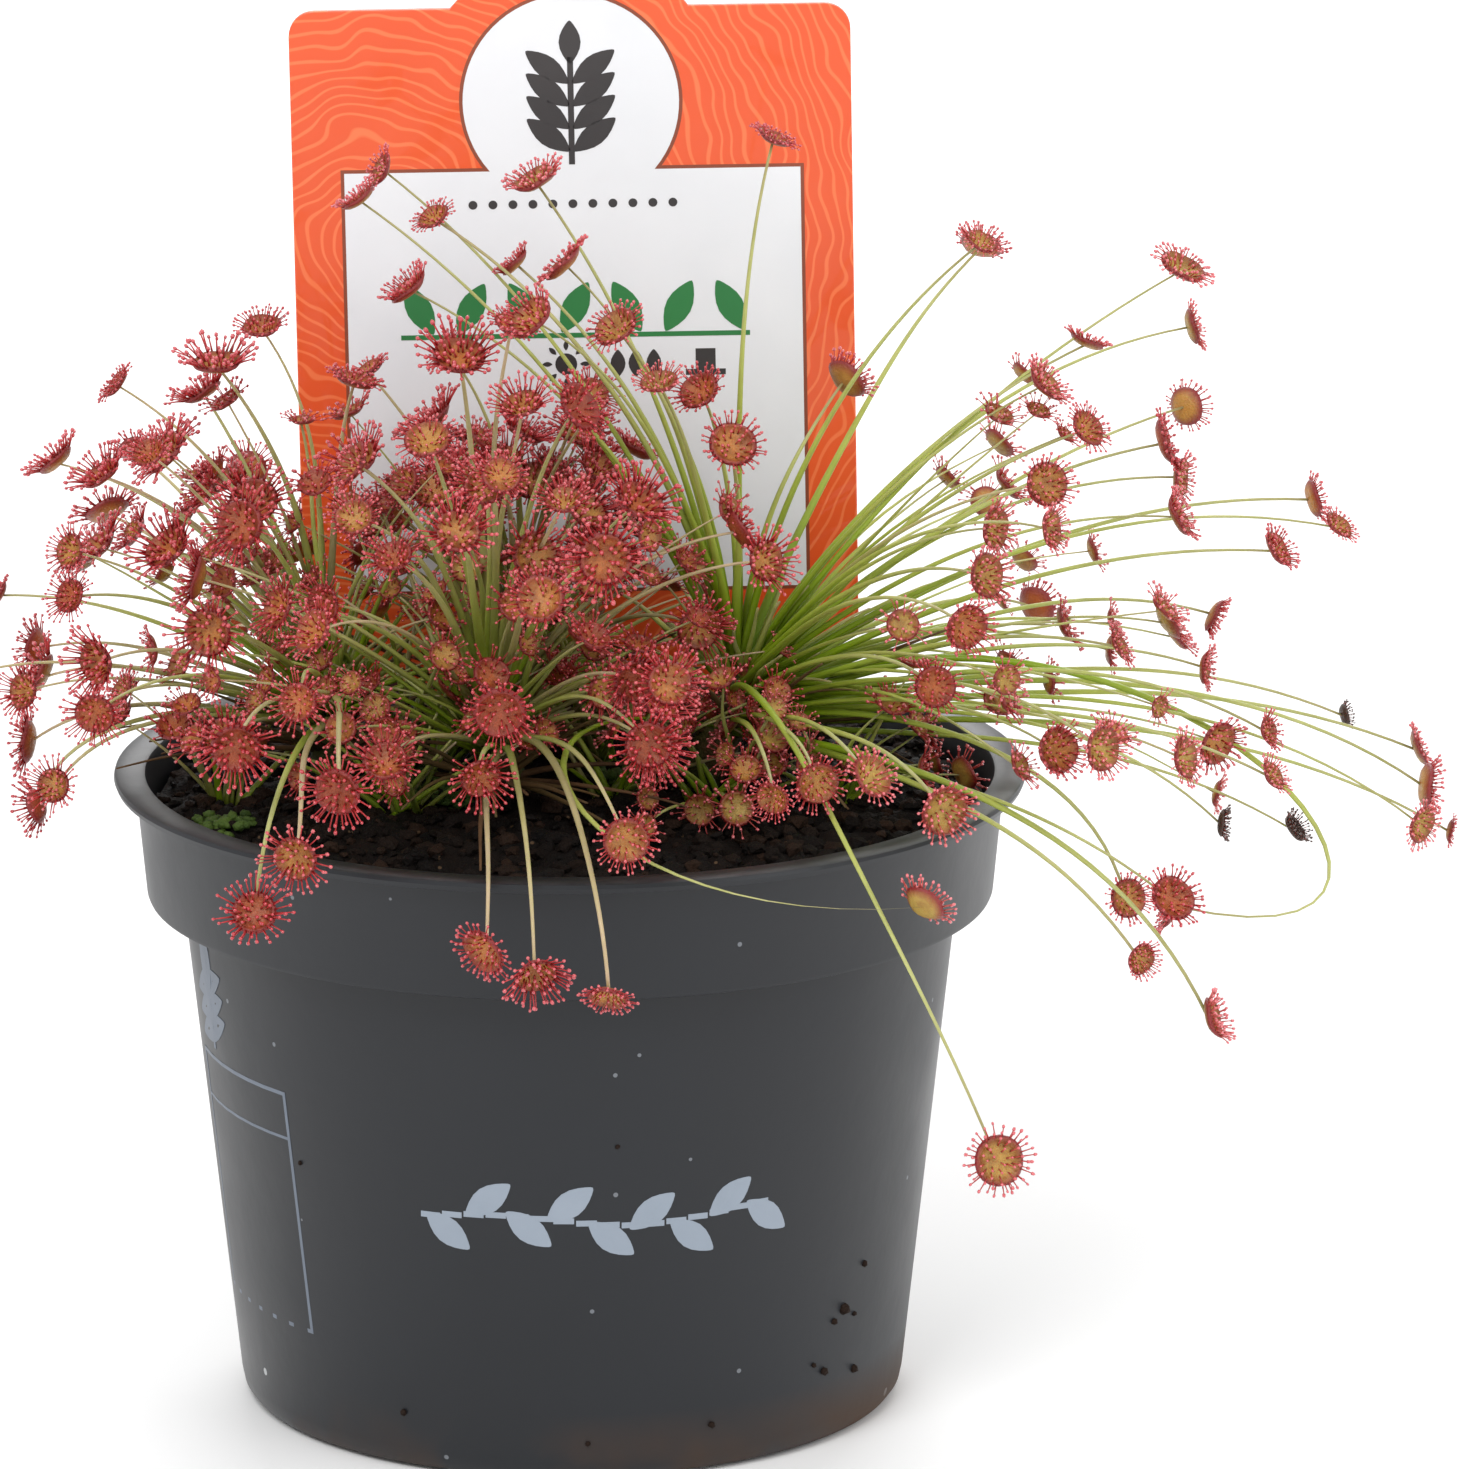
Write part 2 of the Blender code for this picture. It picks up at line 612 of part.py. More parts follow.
def main():
    clear_scene()
    parts = new_collection("sundew_plant")
    cutters = new_collection("cutters")
    grey = material("pot_plastic", (0.055, 0.06, 0.068), 0.45)
    brown = material("peat", (0.035, 0.024, 0.018), 0.95)
    orange = material("label_card", (0.86, 0.2, 0.05), 0.4)
    leafy = material("sundew_leaf", (0.36, 0.3, 0.1), 0.5)
    make_pot(parts, cutters, grey)
    make_peat(parts, cutters, brown)
    make_label(parts, orange)
    for name, leaves in grow_leaves().items():
        make_rosette(name, ROSETTES[name], leaves, parts, leafy)


main()
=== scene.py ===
# %% [markdown]
# # A potted sundew, dressed for its portrait
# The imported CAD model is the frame: it says where the pot, the peat, the label and every leaf
# stand. This script replaces each plain solid with a detailed piece in the same place, gives
# it a procedural material, and adds a floor, lights and a camera at the photograph's angle.

# %% Load the frame
import math
import random

import bpy
import numpy as np
from mathutils import Matrix, Vector, noise


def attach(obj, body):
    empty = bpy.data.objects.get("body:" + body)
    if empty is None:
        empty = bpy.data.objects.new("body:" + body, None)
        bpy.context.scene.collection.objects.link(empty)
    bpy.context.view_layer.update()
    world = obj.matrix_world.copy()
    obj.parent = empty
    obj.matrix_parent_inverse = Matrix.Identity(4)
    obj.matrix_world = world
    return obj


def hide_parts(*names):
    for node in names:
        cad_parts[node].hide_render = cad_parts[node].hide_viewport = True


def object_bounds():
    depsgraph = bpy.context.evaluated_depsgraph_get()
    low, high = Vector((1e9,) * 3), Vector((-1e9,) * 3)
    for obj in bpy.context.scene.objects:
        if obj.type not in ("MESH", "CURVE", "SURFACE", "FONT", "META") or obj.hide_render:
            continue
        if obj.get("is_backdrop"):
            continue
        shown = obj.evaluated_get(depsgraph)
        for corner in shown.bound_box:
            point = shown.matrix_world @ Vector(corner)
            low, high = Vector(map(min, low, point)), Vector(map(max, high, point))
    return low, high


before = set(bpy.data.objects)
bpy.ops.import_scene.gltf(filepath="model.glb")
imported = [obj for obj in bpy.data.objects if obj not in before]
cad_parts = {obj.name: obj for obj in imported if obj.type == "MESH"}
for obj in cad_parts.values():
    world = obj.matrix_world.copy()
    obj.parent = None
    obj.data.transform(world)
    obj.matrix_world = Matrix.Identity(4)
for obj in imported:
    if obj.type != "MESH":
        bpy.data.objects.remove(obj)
cad_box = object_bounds()
MM = 0.001
FULL_TURN = 2.0 * math.pi
print("nodes:", sorted(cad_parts))

# %% [markdown]
# ## Camera, lights and floor
# Such a picture is taken with a long lens from a little above the rim, on a white table under
# large soft lamps. The lens and the height are found from the pot's lip, whose circle shows
# as an ellipse. The pale floor throws light back up on the pot, as the table did.

# %% Camera
TARGET = Vector((15.8 * MM, 0.0, 66.6 * MM))
DISTANCE = 1.037
ELEVATION = math.radians(14.41)
LENS = 257.5
SENSOR = 36.0

camera = bpy.data.objects.new("camera", bpy.data.cameras.new("camera"))
bpy.context.scene.collection.objects.link(camera)
camera.data.lens = LENS
camera.data.sensor_width = SENSOR
camera.data.clip_start = 0.05
back = Vector((0.0, -math.cos(ELEVATION), math.sin(ELEVATION)))
camera.location = TARGET + back * DISTANCE
camera.rotation_euler = (math.radians(90.0) - ELEVATION, 0.0, 0.0)
bpy.context.scene.camera = camera
print("camera stands at", [round(v, 3) for v in camera.location])

# %% Lights
ROOM_LIGHT = 0.76
LAMP_AIM = Vector((0.0, 0.0, 0.07))
SOFTBOXES = (
    ("key", (-0.35, -0.8, 1.0), 0.55, 7.4),
    ("fill", (0.8, -0.5, 0.5), 0.6, 2.4),
    ("back_light", (0.1, 0.9, 0.7), 0.7, 5.0),
)

world = bpy.data.worlds.new("studio")
world.use_nodes = True
world.node_tree.nodes["Background"].inputs["Color"].default_value = (1.0, 1.0, 1.0, 1.0)
world.node_tree.nodes["Background"].inputs["Strength"].default_value = ROOM_LIGHT
bpy.context.scene.world = world
bpy.context.scene.view_settings.view_transform = "Standard"

for name, place, size, power in SOFTBOXES:
    lamp = bpy.data.objects.new(name, bpy.data.lights.new(name, "AREA"))
    bpy.context.scene.collection.objects.link(lamp)
    lamp.data.size = size
    lamp.data.energy = power
    lamp.location = place
    lamp.rotation_euler = (LAMP_AIM - Vector(place)).to_track_quat("-Z", "Y").to_euler()

# %% [markdown]
# ## Helpers for modelling
# Blender's operators act on whatever is selected, so each step first clears the selection.
# A turned shape is made as on a lathe: a filled circle is extruded and resized, ring by ring.

# %% Selection and modifiers
def deselect():
    """Object mode, with nothing selected."""
    if bpy.context.mode != "OBJECT":
        bpy.ops.object.mode_set(mode="OBJECT")
    bpy.ops.object.select_all(action="DESELECT")


def activate(piece):
    """Makes this the one piece that operators act on."""
    deselect()
    piece.select_set(True)
    bpy.context.view_layer.objects.active = piece


def named(name):
    """Names the piece that an operator has just made."""
    piece = bpy.context.view_layer.objects.active
    piece.name = name
    piece.data.name = name
    return piece


def edit(piece):
    """Opens a piece in edit mode with all of it selected."""
    activate(piece)
    bpy.ops.object.mode_set(mode="EDIT")
    bpy.ops.mesh.select_all(action="SELECT")


def close():
    """Leaves edit mode."""
    bpy.ops.object.mode_set(mode="OBJECT")


def modify(piece, kind, **settings):
    """Adds one modifier and applies it."""
    activate(piece)
    step = piece.modifiers.new(kind.title(), kind)
    for key, value in settings.items():
        setattr(step, key, value)
    bpy.ops.object.modifier_apply(modifier=step.name)


def settle(piece, place=None):
    """Puts a finished piece's place into its mesh, after moving it by a matrix."""
    activate(piece)
    if place is not None:
        piece.matrix_world = place @ piece.matrix_world
    bpy.ops.object.transform_apply(location=True, rotation=True, scale=True)


def join(name, pieces):
    """Joins several pieces into one."""
    deselect()
    for piece in pieces:
        piece.select_set(True)
    bpy.context.view_layer.objects.active = pieces[0]
    if len(pieces) > 1:
        bpy.ops.object.join()
    return named(name)


def weld(piece, distance):
    """Merges points closer together than distance, as the slivers that a Boolean leaves."""
    edit(piece)
    bpy.ops.mesh.remove_doubles(threshold=distance)
    bpy.ops.mesh.dissolve_degenerate(threshold=distance)
    close()


def outward(piece):
    """Turns every face to look out of the piece."""
    edit(piece)
    bpy.ops.mesh.normals_make_consistent(inside=False)
    close()


def smooth(piece, degrees):
    """Smooth shading, with an edge kept where faces meet at more than this angle."""
    activate(piece)
    bpy.ops.object.shade_smooth_by_angle(angle=math.radians(degrees))


def dress(piece, look):
    """Gives a piece one finish, in place of any that it has."""
    piece.data.materials.clear()
    piece.data.materials.append(look)


# %% Turned shapes
def flat_disc(name, corners, radius, place=(0.0, 0.0, 0.0)):
    """A filled circle, from which a turned or a pulled shape starts."""
    deselect()
    bpy.ops.mesh.primitive_circle_add(vertices=corners, radius=radius, fill_type="NGON", location=place)
    piece = named(name)
    settle(piece)
    return piece


def draw_out(shift, centre, wide, deep=None):
    """Extrudes the selected face by shift, and resizes the new end about centre."""
    bpy.ops.mesh.extrude_region_move(TRANSFORM_OT_translate={"value": shift})
    grow = (wide, wide if deep is None else deep, 1.0)
    bpy.ops.transform.resize(value=grow, center_override=centre)


def lathe(name, profile, steps):
    """Turns a profile of (radius, height) points into a closed solid by extruding a disc."""
    radius, height = profile[0]
    piece = flat_disc(name, steps, radius, (0.0, 0.0, height))
    edit(piece)
    for next_radius, next_height in profile[1:]:
        draw_out((0.0, 0.0, next_height - height), (0.0, 0.0, next_height), next_radius / radius)
        radius, height = next_radius, next_height
    close()
    return piece


# %% [markdown]
# A plant has hundreds of petioles and traps, and crumbs lie by the thousand. Joining so many
# copies with operators is slow, so each is modelled once, and its copies are written into one
# mesh at a stroke. Two numbers on each vertex tell the materials how far along its model it
# lies, `along`, and which shade its copy has, `tint`.

# %% Copies of one model in one mesh
def read(data, what, size, kind=float):
    """One value, or a few, of every vertex, corner or face, as an array."""
    values = np.empty(len(data) * size, dtype=kind)
    data.foreach_get(what, values)
    return values.reshape(-1, size) if size > 1 else values


def mark(data, name, values):
    """Writes one number to each vertex, for the materials to read."""
    layer = data.attributes.get(name) or data.attributes.new(name, "FLOAT", "POINT")
    layer.data.foreach_set("value", np.asarray(values, dtype=np.float32))


def assemble(name, model, copies, tints, finishes):
    """One mesh of many copies of a model. copies holds each copy's vertex positions."""
    source = model.data
    count = len(source.vertices)
    total = len(copies)
    corners = read(source.loops, "vertex_index", 1, np.int32)
    starts = read(source.polygons, "loop_start", 1, np.int32)
    slots = read(source.polygons, "material_index", 1, np.int32)
    along = read(source.attributes["along"].data, "value", 1)
    made = bpy.data.meshes.new(name)
    made.vertices.add(count * total)
    made.vertices.foreach_set("co", np.concatenate(copies).ravel())
    made.loops.add(len(corners) * total)
    steps = np.arange(total)[:, None]
    made.loops.foreach_set("vertex_index", (corners[None] + steps * count).ravel())
    made.polygons.add(len(starts) * total)
    made.polygons.foreach_set("loop_start", (starts[None] + steps * len(corners)).ravel())
    made.polygons.foreach_set("material_index", np.tile(slots, total))
    made.update(calc_edges=True)
    mark(made, "along", np.tile(along, total))
    mark(made, "tint", np.repeat(np.array(tints), count))
    made.shade_smooth()
    piece = bpy.data.objects.new(name, made)
    bpy.context.scene.collection.objects.link(piece)
    for look in finishes:
        made.materials.append(look)
    return piece


def moved(model, matrices):
    """The model's vertex positions under each matrix."""
    points = read(model.data.vertices, "co", 3)
    return [points @ np.array(m.to_3x3()).T + np.array(m.translation) for m in matrices]


def scattered(x, y, spread, rng):
    """A random spot in a disc round (x, y), and the compass angle that it lies at."""
    turn = rng.uniform(0.0, FULL_TURN)
    away = spread * math.sqrt(rng.random())
    return x + away * math.cos(turn), y + away * math.sin(turn), turn


def remove(*pieces):
    for piece in pieces:
        bpy.data.objects.remove(piece)


def finish_piece(piece, node):
    """Hands a piece to the frame: it rides the root, and stands in for the node if one is named."""
    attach(piece, "root")
    if node is not None:
        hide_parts(node)
    faces = sum(len(p.vertices) - 2 for p in piece.data.polygons)
    print(f"{piece.name}: {faces} triangles")


# %% [markdown]
# ## Helpers for materials
# Each material is a small tree of nodes around one Principled shader. The effects that more
# than one finish needs, soft mottling and fine specks, are node groups that are built once.

# %% Nodes
def colour(red, green, blue):
    """A colour given as it looks on the screen, from 0 to 255, as the shader wants it."""
    parts = [c / 255.0 for c in (red, green, blue)]
    return tuple(c / 12.92 if c < 0.04 else ((c + 0.055) / 1.055) ** 2.4 for c in parts) + (1.0,)


def feed(tree, socket, value):
    """Links a socket to another one, or sets it to a number or a colour."""
    if isinstance(value, bpy.types.NodeSocket):
        tree.links.new(value, socket)
    else:
        socket.default_value = value


def add(tree, kind, **values):
    """A node with settings and input values given by name."""
    made = tree.nodes.new(kind)
    for key, value in values.items():
        if key in made.inputs.keys():
            made.inputs[key].default_value = value
        elif key.replace("_", " ") in made.inputs.keys():
            made.inputs[key.replace("_", " ")].default_value = value
        else:
            setattr(made, key, value)
    return made


def blend(tree, factor, first, second):
    """A colour mix. factor, first and second are sockets, numbers or colours."""
    mix = add(tree, "ShaderNodeMix", data_type="RGBA")
    for socket, value in ((mix.inputs[0], factor), (mix.inputs[6], first), (mix.inputs[7], second)):
        feed(tree, socket, value)
    return mix.outputs[2]


def span(tree, value, low, high, out_low=0.0, out_high=1.0):
    """Stretches value from low..high to out_low..out_high, and cuts off the rest."""
    made = tree.nodes.new("ShaderNodeMapRange")
    for socket, number in zip(made.inputs[:5], (value, low, high, out_low, out_high)):
        feed(tree, socket, number)
    return made.outputs[0]


def calc(tree, operation, first, second):
    """One step of arithmetic on two sockets or numbers."""
    made = add(tree, "ShaderNodeMath", operation=operation)
    feed(tree, made.inputs[0], first)
    feed(tree, made.inputs[1], second)
    return made.outputs[0]


def attribute(tree, name):
    """A number that was marked on the vertices."""
    return add(tree, "ShaderNodeAttribute", attribute_name=name).outputs["Fac"]


def surface_point(tree):
    """The point on the piece, in metres."""
    return tree.nodes.new("ShaderNodeTexCoord").outputs["Object"]


def parts_of(tree, value):
    """The three parts of a point or a colour."""
    made = tree.nodes.new("ShaderNodeSeparateXYZ")
    tree.links.new(value, made.inputs[0])
    return made.outputs


# %% Shared effects
def effect(name, inputs, outputs):
    """An empty node group with named inputs and outputs."""
    group = bpy.data.node_groups.new(name, "ShaderNodeTree")
    for label, start in inputs:
        socket = group.interface.new_socket(name=label, in_out="INPUT", socket_type="NodeSocketFloat")
        socket.default_value = start
    for label in outputs:
        group.interface.new_socket(name=label, in_out="OUTPUT", socket_type="NodeSocketFloat")
    return group, group.nodes.new("NodeGroupInput").outputs, group.nodes.new("NodeGroupOutput").inputs


def mottling_effect():
    """Two sizes of soft noise: cloudy patches and a fine grain."""
    group, given, result = effect("Mottling", [("Scale", 60.0)], ["Patches", "Grain"])
    spot = surface_point(group)
    finer = calc(group, "MULTIPLY", given["Scale"], 9.0)
    for label, scale, detail in (("Patches", given["Scale"], 4.0), ("Grain", finer, 3.0)):
        texture = add(group, "ShaderNodeTexNoise", Detail=detail)
        group.links.new(spot, texture.inputs["Vector"])
        group.links.new(scale, texture.inputs["Scale"])
        group.links.new(texture.outputs[0], result[label])
    return group


def specks_effect():
    """Scattered round specks, such as dried water marks or grit."""
    inputs = [("Scale", 300.0), ("Size", 0.12), ("Share", 0.3)]
    group, given, result = effect("Specks", inputs, ["Mask"])
    cells = add(group, "ShaderNodeTexVoronoi")
    group.links.new(surface_point(group), cells.inputs["Vector"])
    group.links.new(given["Scale"], cells.inputs["Scale"])
    near = calc(group, "LESS_THAN", cells.outputs["Distance"], given["Size"])
    chance = parts_of(group, cells.outputs["Color"])[0]
    chosen = calc(group, "LESS_THAN", chance, given["Share"])
    group.links.new(calc(group, "MULTIPLY", near, chosen), result["Mask"])
    return group


MOTTLING = mottling_effect()
SPECKS = specks_effect()
print("effects:", [g.name for g in bpy.data.node_groups])

# %% Finishes
def use(tree, group, **values):
    """Places a shared effect in a material, with its own values."""
    made = add(tree, "ShaderNodeGroup", node_tree=group)
    for key, value in values.items():
        made.inputs[key].default_value = value
    return made.outputs


def finish(name, roughness, **values):
    """A new material, its tree and its shader."""
    made = bpy.data.materials.new(name)
    made.use_nodes = True
    shader = made.node_tree.nodes["Principled BSDF"]
    shader.inputs["Roughness"].default_value = roughness
    for key, value in values.items():
        shader.inputs[key.replace("_", " ")].default_value = value
    return made, made.node_tree, shader


def paint(tree, shader, base, rough=None, grain=None, depth=0.0):
    """Links the colour, and also the roughness and a raised grain where they are given."""
    tree.links.new(base, shader.inputs["Base Color"])
    if rough is not None:
        tree.links.new(rough, shader.inputs["Roughness"])
    if grain is not None:
        bump = add(tree, "ShaderNodeBump", Distance=depth, Strength=1.0)
        tree.links.new(grain, bump.inputs["Height"])
        tree.links.new(bump.outputs[0], shader.inputs["Normal"])


def two_tone(name, roughness, scale, first, second, depth=0.0):
    """A plain finish whose colour drifts between two shades, with a grain if depth is given."""
    made, tree, shader = finish(name, roughness)
    mottle = use(tree, MOTTLING, Scale=scale)
    base = blend(tree, mottle["Patches"], first, second)
    paint(tree, shader, base, grain=mottle["Grain"] if depth else None, depth=depth)
    return made


# %% [markdown]
# ## The pot
# The real pot is moulded from thin dark plastic: a plain body, a wider band and a flared lip.
# It could be carved from a cylinder, but a lathe shape with the photograph's radii gives the
# wall, the rounded lip and the hollow foot at once. The drain holes are cut with a Boolean,
# as in the solid.

# %% Pot
POT_HEIGHT = 63.5 * MM
LIP_RADIUS = 45.0 * MM
BAND_RADIUS = 42.9 * MM
BAND_FOOT_RADIUS = 41.8 * MM
BAND_FOOT = 51.0 * MM
BODY_TOP = BAND_FOOT - 0.3 * MM
BODY_RADIUS = 38.3 * MM
BASE_RADIUS = 33.0 * MM
BODY_FOOT = 2.4 * MM
WALL = 1.1 * MM
RECESS = 1.2 * MM
FOOT_RING_INSIDE = 26.0 * MM
BOSS_RADIUS = 9.0 * MM
POT_CORNERS = 144

DRAIN_COUNT = 6
DRAIN_CIRCLE = 17.0 * MM
DRAIN_RADIUS = 2.4 * MM
DRAIN_DEPTH = 8.0 * MM
FIRST_DRAIN = 0.3

pot_profile = (
    (BASE_RADIUS - WALL - 0.8 * MM, RECESS + WALL),
    (BASE_RADIUS - WALL, RECESS + WALL + 0.9 * MM),
    (BODY_RADIUS - WALL, BAND_FOOT - 0.4 * MM),
    (BAND_FOOT_RADIUS - WALL, BAND_FOOT + WALL),
    (BAND_RADIUS - WALL, POT_HEIGHT - 0.5 * MM),
    (BAND_RADIUS - WALL + 0.15 * MM, POT_HEIGHT - 0.15 * MM),
    (BAND_RADIUS - WALL + 0.5 * MM, POT_HEIGHT),
    (LIP_RADIUS - 0.4 * MM, POT_HEIGHT),
    (LIP_RADIUS - 0.1 * MM, POT_HEIGHT - 0.15 * MM),
    (LIP_RADIUS, POT_HEIGHT - 0.5 * MM),
    (LIP_RADIUS - 0.2 * MM, POT_HEIGHT - 1.0 * MM),
    (LIP_RADIUS - 0.5 * MM, POT_HEIGHT - 1.1 * MM),
    (BAND_RADIUS + 0.15 * MM, POT_HEIGHT - 1.15 * MM),
    (BAND_RADIUS - 0.05 * MM, POT_HEIGHT - 1.5 * MM),
    (BAND_FOOT_RADIUS + 0.05 * MM, BAND_FOOT + 0.5 * MM),
    (BAND_FOOT_RADIUS - 0.1 * MM, BAND_FOOT + 0.15 * MM),
    (BAND_FOOT_RADIUS - 0.5 * MM, BAND_FOOT),
    (BODY_RADIUS + 0.4 * MM, BAND_FOOT),
    (BODY_RADIUS, BODY_TOP),
    (BASE_RADIUS + 0.05 * MM, BODY_FOOT),
    (BASE_RADIUS - 0.2 * MM, 1.2 * MM),
    (BASE_RADIUS - 0.8 * MM, 0.4 * MM),
    (BASE_RADIUS - 1.9 * MM, 0.0),
    (FOOT_RING_INSIDE, 0.0),
    (FOOT_RING_INSIDE - 1.0 * MM, RECESS),
    (BOSS_RADIUS + 1.0 * MM, RECESS),
    (BOSS_RADIUS, 0.0),
)
pot = lathe("pot_shell", pot_profile, POT_CORNERS)
outward(pot)

drains = []
for number in range(DRAIN_COUNT):
    turn = FULL_TURN * number / DRAIN_COUNT + FIRST_DRAIN
    deselect()
    spot = (DRAIN_CIRCLE * math.cos(turn), DRAIN_CIRCLE * math.sin(turn), 1.5 * MM)
    bpy.ops.mesh.primitive_cylinder_add(
        vertices=32, radius=DRAIN_RADIUS, depth=DRAIN_DEPTH, location=spot
    )
    drains.append(named("drain"))
drain = join("drain", drains)
settle(drain)
modify(pot, "BOOLEAN", operation="DIFFERENCE", solver="EXACT", object=drain)
remove(drain)
smooth(pot, 30.0)

# %% [markdown]
# The plastic is slate grey and satin. Round pots in a white room look light at both edges,
# which the shader's own Fresnel gives. Dried water leaves pale specks, and damp peat leaves
# a brown film near the foot.

# %% Pot plastic
def pot_plastic():
    made, tree, shader = finish("pot_plastic", 0.36, IOR=1.5, Specular_IOR_Level=0.42)
    mottle = use(tree, MOTTLING, Scale=45.0)
    height = parts_of(tree, surface_point(tree))[2]
    base = blend(tree, mottle["Patches"], colour(22, 24, 28), colour(31, 34, 39))
    fine = use(tree, SPECKS, Scale=420.0, Size=0.1, Share=0.05)
    marks = use(tree, SPECKS, Scale=130.0, Size=0.07, Share=0.12)
    base = blend(tree, calc(tree, "MULTIPLY", fine["Mask"], 0.5), base, colour(150, 155, 162))
    base = blend(tree, calc(tree, "MULTIPLY", marks["Mask"], 0.8), base, colour(196, 198, 200))
    low = span(tree, height, 7.0 * MM, 0.5 * MM)
    dirty = calc(tree, "MULTIPLY", low, span(tree, mottle["Patches"], 0.42, 0.62))
    base = blend(tree, dirty, base, colour(70, 48, 30))
    rough = span(tree, mottle["Patches"], 0.3, 0.7, 0.32, 0.46)
    rough = calc(tree, "ADD", rough, calc(tree, "MULTIPLY", dirty, 0.3))
    paint(tree, shader, base, rough, mottle["Grain"], 0.03 * MM)
    return made


dress(pot, pot_plastic())
finish_piece(pot, "pot")

# %% [markdown]
# ## The print on the pot
# A pale print stands on the front and a framed panel on the left. Both get plain leaf motifs
# of the same colour and size. Each is a thin plate, modelled flat and then wrapped round the
# cone by a formula, because a print follows the surface exactly.

# %% Flat shapes
def disc_plate(name, place, radius, thick, corners=24):
    """A flat disc in the XZ plane."""
    deselect()
    bpy.ops.mesh.primitive_cylinder_add(
        vertices=corners, radius=radius, depth=thick, rotation=(math.radians(90.0), 0.0, 0.0),
        location=(place[0], 0.0, place[1]),
    )
    piece = named(name)
    settle(piece)
    return piece


def leaf_plate(name, place, size, turn, thick):
    """A pointed leaf in the XZ plane: a disc whose sides are drawn in to two tips."""
    length, width = size
    piece = disc_plate(name, (0.0, 0.0), 1.0, thick, 20)
    for vertex in piece.data.vertices:
        x, z = vertex.co.x, vertex.co.z
        vertex.co.z = z * (1.0 - 0.55 * x * x) * width / 2
        vertex.co.x = x * length / 2
    edit(piece)
    bpy.ops.mesh.poke()
    close()
    settle(piece, Matrix.Translation((place[0], 0.0, place[1])) @ Matrix.Rotation(-turn, 4, "Y"))
    return piece


def bar_plate(name, low, high, thick, cuts=0):
    """A flat bar in the XZ plane from the corner low to the corner high."""
    deselect()
    middle = ((low[0] + high[0]) / 2, 0.0, (low[1] + high[1]) / 2)
    size = (high[0] - low[0], thick, high[1] - low[1])
    bpy.ops.mesh.primitive_cube_add(size=1.0, location=middle, scale=size)
    piece = named(name)
    settle(piece)
    if cuts:
        edit(piece)
        bpy.ops.mesh.subdivide(number_cuts=cuts)
        close()
    return piece


def wrapped(piece, azimuth):
    """Bends a flat print round the pot's body, centred on a compass angle in degrees."""
    for vertex in piece.data.vertices:
        share = (vertex.co.z - BODY_FOOT) / (BODY_TOP - BODY_FOOT)
        radius = BASE_RADIUS + (BODY_RADIUS - BASE_RADIUS) * share
        turn = math.radians(azimuth) + vertex.co.x / radius
        out = radius - vertex.co.y
        vertex.co.x = out * math.cos(turn)
        vertex.co.y = out * math.sin(turn)
    return piece


# %% Front sprig
PRINT_THICK = 0.1 * MM
FRONT_AZIMUTH = -84.9
SPRIG_HEIGHT = 27.3 * MM
SPRIG_LEAVES = 9
SPRIG_LEAF = (5.6 * MM, 2.7 * MM)
LEAF_STEP = 4.0 * MM
STEM_PARTS = 16
STEM_STEP = 2.2 * MM
SPRIG_LEAN = math.radians(38.0)

sprig = []
for number in range(SPRIG_LEAVES):
    x = -16.0 * MM + LEAF_STEP * number
    high = SPRIG_HEIGHT + 0.7 * MM * math.sin(number * 0.9)
    side = 1.0 if number % 2 else -1.0
    middle = (x + 1.2 * MM, high + 1.5 * MM * side)
    sprig.append(leaf_plate("print_leaf", middle, SPRIG_LEAF, SPRIG_LEAN * side, PRINT_THICK))
for number in range(STEM_PARTS):
    x = -17.6 * MM + STEM_STEP * number
    high = SPRIG_HEIGHT + 0.5 * MM * math.sin(number * 0.5)
    ends = ((x, high - 0.3 * MM), (x + 2.0 * MM, high + 0.3 * MM))
    sprig.append(bar_plate("print_stem", *ends, PRINT_THICK))
front_print = wrapped(join("front_print", sprig), FRONT_AZIMUTH)
print("front print:", len(sprig), "plates")

# %% Side panel
SIDE_AZIMUTH = -153.0
# The panel's lines, as two opposite corners (x, z) of each, in millimetres.
PANEL_LINES = (
    ((-9.5, 12.0), (-9.1, 37.0)),
    ((9.1, 12.0), (9.5, 37.0)),
    ((-9.1, 12.0), (9.1, 12.4)),
    ((-9.1, 36.6), (9.1, 37.0)),
    ((-9.1, 32.0), (9.1, 32.3)),
)
COLUMN_X = -4.6 * MM
COLUMN_LEAVES = 4
COLUMN_LEAF = (8.0 * MM, 3.0 * MM)

panel = [bar_plate("panel_stalk", (-4.9 * MM, 38.0 * MM), (-4.3 * MM, 49.0 * MM), PRINT_THICK, 3)]
for low, high in PANEL_LINES:
    corners = [(x * MM, z * MM) for x, z in (low, high)]
    panel.append(bar_plate("panel_line", *corners, PRINT_THICK, 5))
for number in range(COLUMN_LEAVES):
    spot = (COLUMN_X, (40.2 + 2.3 * number) * MM)
    turn = math.radians(90.0 if number == COLUMN_LEAVES - 1 else 20.0)
    panel.append(leaf_plate("panel_leaf", spot, COLUMN_LEAF, turn, PRINT_THICK))
side_print = wrapped(join("side_print", panel), SIDE_AZIMUTH)
print("side print:", len(panel), "plates")

# %% Print inks
INKS = (
    (front_print, "front_ink", colour(134, 145, 158), colour(152, 162, 175)),
    (side_print, "side_ink", colour(86, 94, 106), colour(112, 122, 136)),
)
for piece, name, worn, pale in INKS:
    dress(piece, two_tone(name, 0.45, 160.0, worn, pale, 0.01 * MM))
    finish_piece(piece, None)

# %% [markdown]
# ## The peat
# Peat is dark, damp and crumbly. A displaced sheet would do from afar, but here the camera is
# close, so the block is a lathe shape whose top is inset ring by ring, noise raises it, and
# loose crumbs lie on it. The crumb is modelled once, and each copy is squashed and turned in
# its own way.

